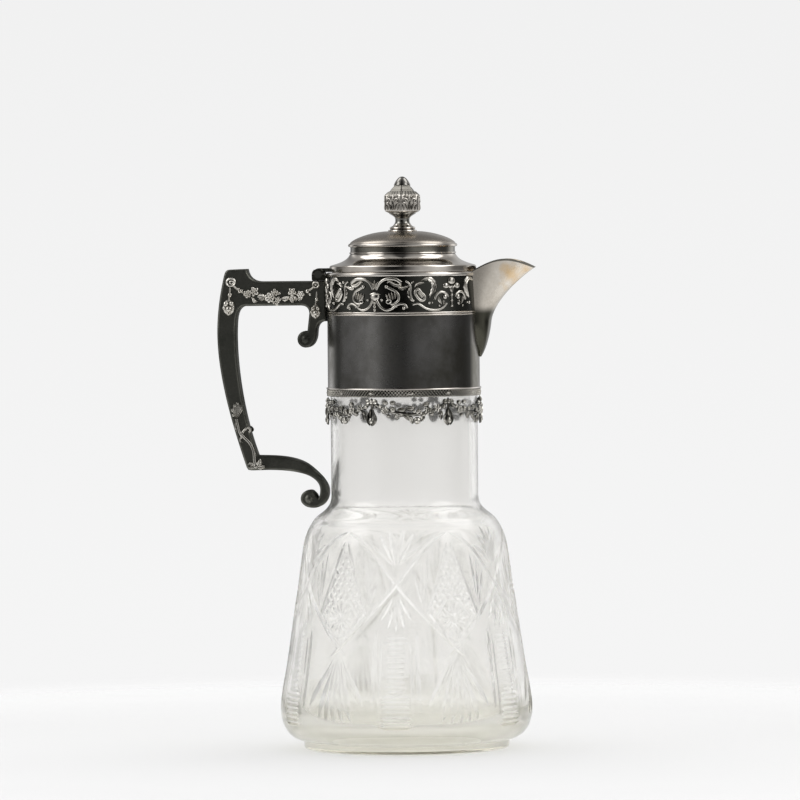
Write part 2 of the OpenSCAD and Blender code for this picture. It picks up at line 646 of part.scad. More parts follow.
module finial_stud() {
  color(silver) translate([0, 0, stud_low]) cylinder(r = stud_r, h = block_top + 0.8 - stud_low, $fn = 48);
}

module finial_washer() {
  color(silver) band(stud_r, 5, lid_top - lid_t - washer_t, lid_top - lid_t);
}

module finial_nut() {
  nut_r = 3.4;
  nut_top = lid_top - lid_t - washer_t;
  color(silver) difference() {
    translate([0, 0, nut_top - nut_t]) cylinder(r = nut_r, h = nut_t, $fn = 6);
    translate([0, 0, nut_top - nut_t - 1]) cylinder(r = stud_r, h = nut_t + 2, $fn = 48);
  }
}

glass_body();
neck_cement();
collar();
mouth_ring();
frieze_band();
frieze_upper_wire();
frieze_lower_wire();
border_bead();
trellis_border();
festoons();
spout();
handle();
garland_front();
garland_back();
grip_leaf_front();
grip_leaf_back();
hinge_fixed_leaf();
hinge_pin();
hinge_lid_leaf();
lid_shell();
lid_bezel();
finial_base();
finial_stem();
finial_knob();
finial_cap();
finial_stud();
finial_washer();
finial_nut();
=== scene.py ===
import math

import bmesh
import bpy
import numpy as np
from mathutils import Matrix, Vector
from mathutils.geometry import delaunay_2d_cdt


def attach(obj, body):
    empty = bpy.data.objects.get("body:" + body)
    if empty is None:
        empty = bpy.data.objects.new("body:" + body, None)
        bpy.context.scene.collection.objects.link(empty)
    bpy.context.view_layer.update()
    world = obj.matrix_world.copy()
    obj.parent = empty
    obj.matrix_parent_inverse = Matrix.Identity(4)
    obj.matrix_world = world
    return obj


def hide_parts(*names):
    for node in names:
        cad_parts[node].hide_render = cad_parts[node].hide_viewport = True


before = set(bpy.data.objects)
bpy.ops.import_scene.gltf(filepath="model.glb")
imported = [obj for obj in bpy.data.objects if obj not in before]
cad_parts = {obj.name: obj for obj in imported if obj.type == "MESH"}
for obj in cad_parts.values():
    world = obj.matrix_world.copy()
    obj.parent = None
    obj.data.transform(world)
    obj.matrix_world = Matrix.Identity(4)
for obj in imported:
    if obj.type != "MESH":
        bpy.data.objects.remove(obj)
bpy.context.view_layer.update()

mm = 0.001  # all shapes below are drawn in millimetres
scene = bpy.context.scene


# Curves and shapes

def bezierAt(p, t):
    # a point of the cubic curve with the four controls p
    a, b, c, d = (1 - t) ** 3, 3 * (1 - t) ** 2 * t, 3 * (1 - t) * t * t, t ** 3
    return tuple(a * p[0][k] + b * p[1][k] + c * p[2][k] + d * p[3][k] for k in (0, 1))


def curvePoints(p, steps):
    # the curve from p[0] to p[3], without its last point
    return [bezierAt(p, i / steps) for i in range(steps)]


def traced(start, moves):
    # an outline drawn move by move, without the last point: a point is a straight line to it,
    # and (control, control, point, steps) a curve
    line = []
    pen = start
    for move in moves:
        if len(move) == 2:
            line.append(pen)
            pen = move
        else:
            line += curvePoints([pen, *move[:3]], move[3])
            pen = move[2]
    return line


def through(points, steps=4):
    # a smooth line through all the points
    line = []
    for i in range(len(points) - 1):
        p0 = points[max(i - 1, 0)]
        p1, p2 = points[i], points[i + 1]
        p3 = points[min(i + 2, len(points) - 1)]
        for s in range(steps):
            t = s / steps
            line.append(tuple(
                0.5 * (2 * p1[k] + (p2[k] - p0[k]) * t + (2 * p0[k] - 5 * p1[k] + 4 * p2[k] - p3[k]) * t * t
                       + (3 * p1[k] - p0[k] - 3 * p2[k] + p3[k]) * t ** 3) for k in (0, 1)))
    line.append(tuple(points[-1][:2]))
    return line


def newShape(bold=1.0):
    # bold widens every stem, leaf and ball that is added
    return {"verts": [], "faces": [], "bold": bold}


def addMesh(shape, verts, faces):
    start = len(shape["verts"])
    shape["verts"] += verts
    shape["faces"] += [tuple(start + i for i in face) for face in faces]


def joinLoops(shape, start, count, size, closed=False):
    # quads between count loops of size points each, and caps on the two ends
    for i in range(count if closed else count - 1):
        a, b = start + i * size, start + (i + 1) % count * size
        for k in range(size):
            n = (k + 1) % size
            shape["faces"].append((a + k, a + n, b + n, b + k))
    if not closed:
        last = start + (count - 1) * size
        shape["faces"].append(tuple(range(start + size - 1, start - 1, -1)))
        shape["faces"].append(tuple(range(last, last + size)))


roundSection = [(math.cos(math.tau * k / 8), math.sin(math.tau * k / 8)) for k in range(8)]
leafSection = [(-1, 0), (-0.8, 0.5), (-0.45, 0.95), (-0.14, 0.8), (0, 0.45), (0.14, 0.8), (0.45, 0.95),
               (0.8, 0.5), (1, 0), (0, -0.25)]


def addSweep(shape, line, widths, heights, section, base=0.0, closed=False):
    # a bar along a line drawn flat as x and y, with its height above the ground it lies on
    start = len(shape["verts"])
    last = len(line) - 1
    for i, point in enumerate(line):
        ahead = line[(i + 1) % len(line)] if closed else line[min(i + 1, last)]
        behind = line[i - 1] if closed else line[max(i - 1, 0)]
        along = Vector((ahead[0] - behind[0], ahead[1] - behind[1])).normalized()
        for across, up in section:
            shape["verts"].append((point[0] - along.y * across * widths[i],
                                   point[1] + along.x * across * widths[i], base + up * heights[i]))
    joinLoops(shape, start, len(line), len(section), closed)


def addStem(shape, points, thick, endThick=None, base=0.3, height=0.8, steps=4):
    # a round stem that thins towards its end
    line = through(points, steps)
    ends = thick if endThick is None else endThick
    widths = [shape["bold"] * (thick + (ends - thick) * i / (len(line) - 1)) for i in range(len(line))]
    addSweep(shape, line, widths, [w * height for w in widths], roundSection, base)


def addLeaf(shape, points, width, height, base=0.1, ribs=0, section=leafSection, full=0.45, steps=4):
    # a leaf along a spine: pointed at both ends, fullest at "full", with ribs across if wanted
    line = through(points, steps)
    last = len(line) - 1
    widths = []
    heights = []
    for i in range(last + 1):
        t = i / last
        swell = math.sin(math.pi * t ** (math.log(0.5) / math.log(full)))
        rib = 1 + 0.14 * math.cos(math.tau * ribs * t) if ribs else 1
        widths.append(max(width * shape["bold"] * swell ** 0.75 * rib, 0.06))
        heights.append(height * (0.25 + 0.75 * swell ** 0.6) * (2 - rib))
    addSweep(shape, line, widths, heights, section, base)


def addBlob(shape, x, y, h, rx, ry, rh, turn=0.0, rings=6, around=10):
    # a ball, or an egg with three radii, turned flat by an angle in degrees
    start = len(shape["verts"])
    rx, ry = rx * shape["bold"], ry * shape["bold"]
    c, s = math.cos(math.radians(turn)), math.sin(math.radians(turn))
    for i in range(1, rings):
        lat = math.pi * i / rings
        for k in range(around):
            lon = math.tau * k / around
            px = rx * math.sin(lat) * math.cos(lon)
            py = ry * math.sin(lat) * math.sin(lon)
            shape["verts"].append((x + px * c - py * s, y + px * s + py * c, h + rh * math.cos(lat)))
    for i in range(rings - 2):
        a = start + i * around
        for k in range(around):
            n = (k + 1) % around
            shape["faces"].append((a + k, a + n, a + around + n, a + around + k))
    for sign, row in ((1, start), (-1, start + (rings - 2) * around)):
        tip = len(shape["verts"])
        shape["verts"].append((x, y, h + sign * rh))
        for k in range(around):
            n = (k + 1) % around
            shape["faces"].append((tip, row + n, row + k) if sign > 0 else (tip, row + k, row + n))


def addRing(shape, x, y, h, rx, ry, thick, turn=0.0, around=16, tall=1.0):
    c, s = math.cos(math.radians(turn)), math.sin(math.radians(turn))
    line = []
    for k in range(around):
        a = math.tau * k / around
        px, py = rx * math.cos(a), ry * math.sin(a)
        line.append((x + px * c - py * s, y + px * s + py * c))
    addSweep(shape, line, [thick] * around, [thick * tall] * around, roundSection, h, closed=True)


def addFlower(shape, x, y, r, petals=5, base=0.4, turn=0.0, dished=True):
    # round petals about a bead, each with its own dish
    for k in range(petals):
        a = math.radians(turn) + math.tau * k / petals
        px, py = x + 0.6 * r * math.cos(a), y + 0.6 * r * math.sin(a)
        addBlob(shape, px, py, base, 0.44 * r, 0.36 * r, 0.32 * r, math.degrees(a))
        if dished:
            addRing(shape, px, py, base + 0.14 * r, 0.28 * r, 0.24 * r, 0.1 * r, math.degrees(a), 10)
    addBlob(shape, x, y, base + 0.2 * r, 0.26 * r, 0.26 * r, 0.3 * r)


def wrapped(shape, radius, startAngle, baseHeight, target, drawnRun=None):
    # bends a flat shape round the upright axis: x along the circle, y up, height outwards
    # a drawing with a given run goes exactly once round
    carrier = drawnRun / math.tau if drawnRun else radius
    verts = []
    for x, y, h in shape["verts"]:
        a = math.radians(startAngle) + x / carrier
        verts.append(((radius + h) * math.cos(a), (radius + h) * math.sin(a), baseHeight + y))
    addMesh(target, verts, shape["faces"])


def spun(profile, around=160, target=None):
    # turns a closed outline of (radius, height) about the upright axis
    shape = target or newShape()
    start = len(shape["verts"])
    for k in range(around):
        a = math.tau * k / around
        shape["verts"] += [(r * math.cos(a), r * math.sin(a), z) for r, z in profile]
    joinLoops(shape, start, around, len(profile), closed=True)
    return shape


def makePiece(name, shape, material, body, nodes, sharp=32):
    # one closed mesh, smooth but for edges sharper than "sharp" degrees
    mesh = bpy.data.meshes.new(name)
    mesh.from_pydata([(x * mm, y * mm, z * mm) for x, y, z in shape["verts"]], [], shape["faces"])
    if "frost" in shape:
        mesh.attributes.new("frost", "FLOAT", "FACE").data.foreach_set("value", shape["frost"])
    work = bmesh.new()
    work.from_mesh(mesh)
    bmesh.ops.remove_doubles(work, verts=work.verts, dist=2e-7)
    bmesh.ops.dissolve_degenerate(work, edges=work.edges, dist=1e-7)
    bmesh.ops.recalc_face_normals(work, faces=work.faces)
    work.to_mesh(mesh)
    work.free()
    mesh.shade_smooth()
    mesh.set_sharp_from_angle(angle=math.radians(sharp))
    piece = bpy.data.objects.new(name, mesh)
    scene.collection.objects.link(piece)
    mesh.materials.append(material)
    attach(piece, body)
    if nodes:
        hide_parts(*nodes)
    return piece


# Finishes

class NodeNet:
    # the nodes of one material or of the room; an input takes a number, a colour or a node's output
    def __init__(self, tree):
        self.nodes, self.links = tree.nodes, tree.links

    def feed(self, socket, value):
        if isinstance(value, bpy.types.NodeSocket):
            self.links.new(value, socket)
        else:
            socket.default_value = (*value, 1) if socket.type == "RGBA" else value

    def add(self, kind, inputs, **settings):
        node = self.nodes.new("ShaderNode" + kind)
        for name, value in settings.items():
            setattr(node, name, value)
        for name, value in inputs.items():
            self.feed(node.inputs[name], value)
        return node

    def calc(self, how, *values):
        return self.add("Math", dict(enumerate(values)), operation=how).outputs[0]

    def axis(self, where, name):
        return self.add("SeparateXYZ", {0: where}).outputs[name]

    def span(self, value, low, high, how="LINEAR"):
        # 0 at low, 1 at high
        inputs = {"Value": value, "From Min": low, "From Max": high}
        return self.add("MapRange", inputs, interpolation_type=how).outputs["Result"]

    def noise(self, where, scale, detail, rough, stretch=None):
        if stretch:
            where = self.add("Mapping", {"Vector": where, "Scale": stretch}).outputs["Vector"]
        inputs = {"Vector": where, "Scale": scale, "Detail": detail, "Roughness": rough}
        return self.add("TexNoise", inputs).outputs["Fac"]

    def ramp(self, value, stops):
        # stops are (place, colour) or (place, grey)
        ramp = self.add("ValToRGB", {"Fac": value})
        while len(ramp.color_ramp.elements) < len(stops):
            ramp.color_ramp.elements.new(0.5)
        for element, (place, colour) in zip(ramp.color_ramp.elements, stops):
            element.position = place
            element.color = (*colour, 1) if isinstance(colour, tuple) else (colour, colour, colour, 1)
        return ramp.outputs["Color"]

    def mix(self, factor, first, second, how="MIX"):
        # sockets 6 and 7 are the two colours
        inputs = {"Factor": factor, 6: first, 7: second}
        return self.add("Mix", inputs, data_type="RGBA", blend_type=how).outputs[2]

    def bump(self, height, strength, depth, **under):
        inputs = {"Height": height, "Strength": strength, "Distance": depth * mm, **under}
        return self.add("Bump", inputs).outputs["Normal"]

    def clearWhere(self, factor, shader, tint=(1, 1, 1)):
        # lets light straight through where factor is 1
        clear = self.add("BsdfTransparent", {"Color": tint})
        blend = self.add("MixShader", {"Fac": factor, 1: shader.outputs[0], 2: clear.outputs[0]})
        self.feed(self.nodes["Material Output"].inputs["Surface"], blend.outputs[0])


def newFinish(name):
    # the material, its nodes, its shader and where a point lies on the piece
    mat = bpy.data.materials.new(name)
    mat.use_nodes = True
    net = NodeNet(mat.node_tree)
    return mat, net, net.nodes["Principled BSDF"], net.add("TexCoord", {}).outputs["Object"]


plateGrain = {"patchScale": 45, "patchStops": [(0.38, 0.0), (0.66, 1.0)], "grain": 0.5, "grainScale": 900,
              "grainStops": [(0.3, 0.82), (0.7, 1.0)], "hollowReach": 1.6,
              "hollowStops": [(0.35, 0.0), (0.85, 1.0)],
              "cloudScale": 90, "cloudStops": [(0.0, 0.0), (0.3, 1.0)], "scratchScale": 700,
              "scratchAlong": (1, 1, 9), "scratchBump": 0.12, "scratchDepth": 0.04, "roughGrain": 0.06,
              "dent": 0.3, "dentScale": 38, "dentDepth": 0.25, "edgeTone": 1.0}


def plateFinish(name, look):
    # silver plate: bright and dulled patches, dark hollows, fine scratches
    mat, net, shader, where = newFinish(name)
    look = {**plateGrain, **look}
    dulled = net.ramp(net.noise(where, look["patchScale"], 5, 0.62), look["patchStops"])
    if "darkerSide" in look:
        # tarnish is heavier towards the spout
        lean = net.calc("MULTIPLY_ADD", net.axis(where, "X"), look["darkerSide"], dulled)
        dulled = net.ramp(lean, [(0.0, 0.0), (1.0, 1.0)])
    colour = net.mix(dulled, look["bright"], look["dull"])
    grain = net.ramp(net.noise(where, look["grainScale"], 3, 0.6), look["grainStops"])
    colour = net.mix(look["grain"], colour, grain, "MULTIPLY")
    if "ground" in look:
        # dark where the relief is low: height is taken from the axis, or from the handle's middle
        kind, low, high, tone = look["ground"]
        if kind == "round":
            level = net.add("CombineXYZ", {"X": net.axis(where, "X"), "Y": net.axis(where, "Y")}).outputs[0]
            reach = net.add("VectorMath", {0: level}, operation="LENGTH").outputs["Value"]
        else:
            reach = net.calc("ABSOLUTE", net.axis(where, "Y"))
        colour = net.mix(net.span(reach, low * mm, high * mm), tone, colour)
    if "hollow" in look:
        shade = net.add("AmbientOcclusion", {"Distance": look["hollowReach"] * mm}, samples=12,
                        only_local=True)
        colour = net.mix(net.ramp(shade.outputs["AO"], look["hollowStops"]), look["hollow"], colour)
    if "paintedDarkBelow" in look:
        # painted shade: darker below, standing in for a dark reflection: (from, to, tone)
        low, high, tone = look["paintedDarkBelow"]
        colour = net.mix(net.span(net.axis(where, "Z"), low * mm, high * mm, "SMOOTHSTEP"), tone, colour)
    if "paintedReflectionBands" in look:
        # painted reflection: lighter and darker upright bands round the jug, 0.5 is the front
        compass = net.calc("ARCTAN2", net.axis(where, "X"), net.calc("MULTIPLY", net.axis(where, "Y"), -1.0))
        reflectionBand = net.ramp(net.span(compass, -math.pi, math.pi), look["paintedReflectionBands"])
        colour = net.mix(1.0, colour, reflectionBand, "MULTIPLY")
    if "gilt" in look:
        # golden toning in a cloud about one point: (point, reach, tone)
        point, reach, tone = look["gilt"]
        inputs = {0: where, 1: [c * mm for c in point]}
        away = net.add("VectorMath", inputs, operation="DISTANCE").outputs["Value"]
        cloud = net.calc("MULTIPLY_ADD", away, -1 / (reach * mm),
                         net.noise(where, look["cloudScale"], 3, 0.5))
        colour = net.mix(net.ramp(cloud, look["cloudStops"]), colour, tone)
    scratch = net.noise(where, look["scratchScale"], 2, 0.5, look["scratchAlong"])
    smooth, worn = look["rough"]
    rough = net.add("Mix", {"Factor": dulled, "A": smooth, "B": worn}).outputs["Result"]
    rough = net.calc("MULTIPLY_ADD", scratch, look["roughGrain"], rough)
    if "paintedDarkTop" in look:
        # painted shade: the top is duller and browner in colour, standing in for its dark reflection, and
        # rougher: (from, to, tone, extra roughness)
        low, high, tone, satin = look["paintedDarkTop"]
        top = net.span(net.axis(where, "Z"), low * mm, high * mm)
        colour = net.mix(top, colour, tone)
        rough = net.calc("MULTIPLY_ADD", top, satin, rough)
    net.feed(shader.inputs["Base Color"], colour)
    net.feed(shader.inputs["Roughness"], rough)
    fine = net.bump(scratch, look["scratchBump"], look["scratchDepth"])
    dents = net.noise(where, look["dentScale"], 2, 0.5)
    net.feed(shader.inputs["Normal"], net.bump(dents, look["dent"], look["dentDepth"], Normal=fine))
    shader.inputs["Metallic"].default_value = 1.0
    net.feed(shader.inputs["Specular Tint"], (look["edgeTone"],) * 3)
    return mat


polished = {"rough": (0.05, 0.12), "dent": 0.12, "grain": 0.3, "roughGrain": 0.04}
applied = {"rough": (0.14, 0.24), "ground": ("flat", 6.02, 6.3, (0.08, 0.076, 0.065)),
           "hollow": (0.05, 0.047, 0.04), "hollowStops": [(0.25, 0.0), (0.62, 1.0)], "patchScale": 130,
           "dent": 0.1}
plateLooks = {
    "brightSilver": {**polished, "bright": (0.80, 0.76, 0.71), "dull": (0.62, 0.57, 0.51),
                     "hollow": (0.1, 0.095, 0.085), "hollowReach": 1.3,
                     "hollowStops": [(0.35, 0.0), (0.75, 1.0)]},
    "lidSilver": {**polished, "bright": (0.72, 0.675, 0.62), "dull": (0.53, 0.485, 0.43),
                  "hollow": (0.045, 0.042, 0.035), "hollowStops": [(0.42, 0.0), (0.8, 1.0)],
                  # painted shade: the dome above the rim is darker and browner, standing in for its dark
                  # reflection
                  "paintedDarkTop": (251.4, 253.0, (0.4, 0.36, 0.312), 0.16)},
    # tarnish in the lid's groove, and the painted shadow line under the spout's rim
    "tarnishAndShadowSilver": {"bright": (0.24, 0.23, 0.2), "dull": (0.09, 0.085, 0.075), "rough": (0.12, 0.22),
                        "dent": 0.12},
    "hingeSilver": {"bright": (0.6, 0.57, 0.52), "dull": (0.4, 0.38, 0.34), "rough": (0.2, 0.3),
                    "ground": ("flat", 6.03, 6.12, (0.12, 0.12, 0.1)), "dent": 0.1},
    # a darker cap: dirt, and a painted dark reflection
    "capDirtAndShadeSilver": {"bright": (0.3, 0.29, 0.27), "dull": (0.12, 0.115, 0.1), "rough": (0.05, 0.1),
                  "dent": 0.1},
    "stemSilver": {"bright": (0.42, 0.41, 0.38), "dull": (0.24, 0.235, 0.21), "rough": (0.05, 0.12),
                   "hollow": (0.04, 0.038, 0.032), "hollowStops": [(0.35, 0.0), (0.8, 1.0)], "dent": 0.1},
    "duskySleeve": {"bright": (0.6, 0.586, 0.572), "dull": (0.245, 0.236, 0.203), "rough": (0.2, 0.34),
                    "patchScale": 30, "dent": 0.25, "darkerSide": 6.0,
                    # painted reflection: the room's bright and dark sides laid on the sleeve as upright
                    # bands
                    "paintedReflectionBands": [(0.0, 0.33), (0.25, 0.37), (0.29, 0.95), (0.326, 1.0), (0.347, 0.42),
                              (0.385, 0.26),
                              (0.412, 0.26), (0.43, 0.31), (0.447, 0.47), (0.463, 0.68), (0.48, 0.73),
                              (0.497, 0.6),
                              (0.514, 0.4), (0.531, 0.33), (0.55, 0.26), (0.57, 0.21), (0.602, 0.2),
                              (0.623, 0.24),
                              (0.645, 0.26), (0.68, 0.17), (0.696, 1.0), (0.74, 1.0), (0.78, 0.4),
                              (1.0, 0.33)]},
    "spoutSilver": {"bright": (0.92, 0.86, 0.77), "dull": (0.75, 0.69, 0.6), "rough": (0.08, 0.16),
                    "dent": 0.2,
                    # painted shade: the spout under the frieze is darkened, standing in for its dark
                    # reflection
                    "paintedDarkBelow": (217, 221.5, (0.075, 0.073, 0.057)),
                    "gilt": ((53.5, 0, 239.5), 23, (0.78, 0.54, 0.27))},
    "friezeSilver": {"bright": (0.74, 0.71, 0.65), "dull": (0.42, 0.4, 0.36), "rough": (0.12, 0.22),
                     "ground": ("round", 38.34, 38.55, (0.06, 0.06, 0.053)), "patchScale": 160, "dent": 0.1,
                     "hollow": (0.07, 0.07, 0.062), "hollowStops": [(0.2, 0.0), (0.6, 1.0)]},
    "festoonSilver": {"bright": (0.9, 0.87, 0.8), "dull": (0.16, 0.155, 0.13), "rough": (0.06, 0.14),
                      "ground": ("round", 37.9, 39.0, (0.04, 0.04, 0.034)), "patchScale": 130, "dent": 0.1,
                      "hollow": (0.03, 0.03, 0.026), "hollowStops": [(0.4, 0.0), (0.85, 1.0)]},
    "gripLeafSilver": {**applied, "bright": (0.6, 0.58, 0.53), "dull": (0.3, 0.29, 0.26)},
    "garlandSilver": {**applied, "bright": (0.9, 0.87, 0.8), "dull": (0.55, 0.52, 0.46)},
    "knobSilver": {"bright": (0.78, 0.74, 0.68), "dull": (0.52, 0.49, 0.44), "rough": (0.16, 0.26),
                   # painted shade: the knob's shoulder and top are darkened against the soft boxes' bright
                   # reflection
                   "paintedDarkTop": (276.4, 276.8, (0.21, 0.2, 0.178), 0.04), "patchScale": 130, "dent": 0.1,
                   "hollow": (0.025, 0.024, 0.02), "hollowStops": [(0.5, 0.0), (0.98, 1.0)]},
    "trellisSilver": {"bright": (0.55, 0.53, 0.48), "dull": (0.34, 0.325, 0.29), "rough": (0.16, 0.28),
                      "ground": ("round", 38.14, 38.4, (0.05, 0.05, 0.043)), "patchScale": 160, "dent": 0.1},
    "castHandle": {"bright": (0.19, 0.19, 0.165), "dull": (0.075, 0.077, 0.066), "rough": (0.3, 0.45),
                   "edgeTone": 0.35, "patchScale": 60, "hollow": (0.03, 0.03, 0.027), "dent": 0.35,
                   "scratchAlong": (6, 1, 1)},
    "turnedBrass": {"bright": (0.72, 0.55, 0.27), "dull": (0.5, 0.38, 0.18), "rough": (0.25, 0.4)},
}
finish = {name: plateFinish(name, look) for name, look in plateLooks.items()}

crystal = {"bend": 1.53, "deepTone": (0.956, 0.95, 0.941), "paleTone": (0.976, 0.971, 0.964),
           "heelTone": (0.87, 0.863, 0.828),
           "heelStops": [(0.007, 0.0), (0.012, 1.0), (0.021, 1.0), (0.027, 0.0)],
           "smearScale": 35, "smearRough": [(0.35, 0.0), (0.75, 0.035)], "cutRough": (0.3, 0.3, 0.3),
           "clouded": [(0.3, 0.66), (0.7, 0.56)], "waveScale": 70, "wave": 0.25, "waveDepth": 0.12,
           "straw": (0.92, 0.9, 0.76), "strawDensity": 9.0, "shadowTint": (0.96, 0.96, 0.955)}


def glassFinish(c):
    # clear lead glass with a faint straw tint where it is thick
    mat, net, shader, where = newFinish("cutCrystal")
    shader.inputs["Transmission Weight"].default_value = 1.0
    shader.inputs["IOR"].default_value = c["bend"]
    smear = net.noise(where, c["smearScale"], 3, 0.5)
    # years of wine have clouded the inside, and the wheel leaves the cut faces a little grey
    cutMark = net.add("Attribute", {}, attribute_name="frost").outputs["Fac"]
    rough = net.mix(cutMark, net.ramp(smear, c["smearRough"]), c["cutRough"])
    net.feed(shader.inputs["Roughness"], rough)
    clearness = net.mix(cutMark, (1.0, 1.0, 1.0), net.ramp(smear, c["clouded"]))
    net.feed(shader.inputs["Transmission Weight"], clearness)
    tone = net.mix(smear, c["deepTone"], c["paleTone"])
    tone = net.mix(net.ramp(net.axis(where, "Z"), c["heelStops"]), tone, c["heelTone"])
    net.feed(shader.inputs["Base Color"], tone)
    ripples = net.bump(net.noise(where, c["waveScale"], 1, 0.4), c["wave"], c["waveDepth"])
    net.feed(shader.inputs["Normal"], ripples)
    straw = net.add("VolumeAbsorption", {"Color": c["straw"], "Density": c["strawDensity"]})
    net.feed(net.nodes["Material Output"].inputs["Volume"], straw.outputs["Volume"])
    # light and soft light pass straight on to the table behind it
    path = net.add("LightPath", {}).outputs
    passing = net.calc("MAXIMUM", path["Is Shadow Ray"], path["Is Diffuse Ray"])
    net.clearWhere(passing, shader, c["shadowTint"])
    return mat


def plasterFinish():
    mat, net, shader, where = newFinish("plasterBed")
    crumbs = net.noise(where, 500, 6, 0.7)
    tone = net.ramp(crumbs, [(0.3, (0.7, 0.66, 0.58)), (0.7, (0.84, 0.81, 0.74))])
    net.feed(shader.inputs["Base Color"], tone)
    net.feed(shader.inputs["Roughness"], net.ramp(crumbs, [(0.3, 0.75), (0.7, 0.95)]))
    net.feed(shader.inputs["Normal"], net.bump(crumbs, 0.5, 0.1))
    return mat


finish["cutCrystal"] = glassFinish(crystal)
finish["plasterBed"] = plasterFinish()
print("finishes ready")


# Glass body

glass = {"footR": 51.5, "heelR": 63.0, "heelZ": 19.5, "shoulderR": 51.2, "shoulderZ": 100.0, "neckR": 36.75,
         "neckZ": 126.5, "neckTop": 204.0, "wall": 5.5, "neckWall": 3.75, "bottom": 12.0, "footH": 4.6,
         "stepZ": 178.3, "cementRoom": 1.15, "around": 120, "cutLow": 12.6, "cutHigh": 113.8,
         "unrollR": 56.0}
# how clouded the glass is, from 0 to 1
clouding = {"cuts": 0.28, "neck": 0.3, "wall": 0.42, "bottom": 0.85}


def glassOutline():
    # outside from the middle of the foot up to the rim, then the inside down to the bottom
    g = glass
    fr, hr, hz, sr, sz, nr = g["footR"], g["heelR"], g["heelZ"], g["shoulderR"], g["shoulderZ"], g["neckR"]
    foot = [(0, 0.35), (fr - 9, 0.35), (fr - 6, 0), (fr - 1.6, 0), (fr - 0.4, 0.6), (fr, 1.8),
            (fr, g["footH"] - 0.6)]
    top = (hr - 3.4, hz + 23.5)
    rise = traced((fr + 0.8, g["footH"]), [
        ((fr + 7, g["footH"] + 0.4), (hr, hz - 8.5), (hr, hz), 16),
                                           ((hr, hz + 8.5), (hr - 2, hz + 14.5), top, 12)])
    rise += [(top[0] + (sr - top[0]) * i / 12, top[1] + (sz - top[1]) * i / 12) for i in range(12)]
    rise += traced((sr, sz), [
        ((sr - 0.9, sz + 7), (sr - 3.4, sz + 11.5), (sr - 6.2, sz + 15.2), 14),
        ((sr - 9.6, sz + 18.6), (nr, g["neckZ"] - 6.5), (nr, g["neckZ"]), 14)])
    bead = nr - g["cementRoom"]
    neck = [(nr, g["neckZ"]), (nr, g["stepZ"] - 0.6), (bead, g["stepZ"] + 0.6), (bead, g["neckTop"] - 1),
            (bead - 0.6, g["neckTop"])]
    inner, wall, bottom = nr - g["neckWall"], g["wall"], g["bottom"]
    inside = traced((inner, g["neckTop"]), [
        (inner, g["neckZ"] + 1), ((inner, g["neckZ"] - 5), (sr - 13, sz + 15.5), (sr - 9.5, sz + 11.5), 12),
        ((sr - 7.2, sz + 9), (sr - wall - 0.5, sz + 5), (sr - wall, sz - 3), 10), (hr - wall - 1.5, hz + 14),
        ((hr - wall, hz + 3), (hr - wall - 2, bottom), (hr - wall - 14, bottom), 14), (0, bottom)])
    return foot, rise, neck, inside + [(0, bottom)]


def cutLine(plan, points, half, depth, kind="leaf", smooth=False):
    # one wheel cut, given as (degrees round the body, height); half is half its width in millimetres
    plan.append({"points": through(points, 5) if smooth else points, "half": half, "depth": depth,
                 "kind": kind})


cutPattern = {"cellLow": (30.0, 53.5), "cellSide": (15.5, 69.0), "cellTop": (30.0, 105.5),
              "starR": 8.5, "starZ": 68.0, "hatchGap": 2.9, "hatchAngle": 33, "ladderGap": 2.45,
              "ladderLow": 14.6,
              "ladderHigh": 60.0}


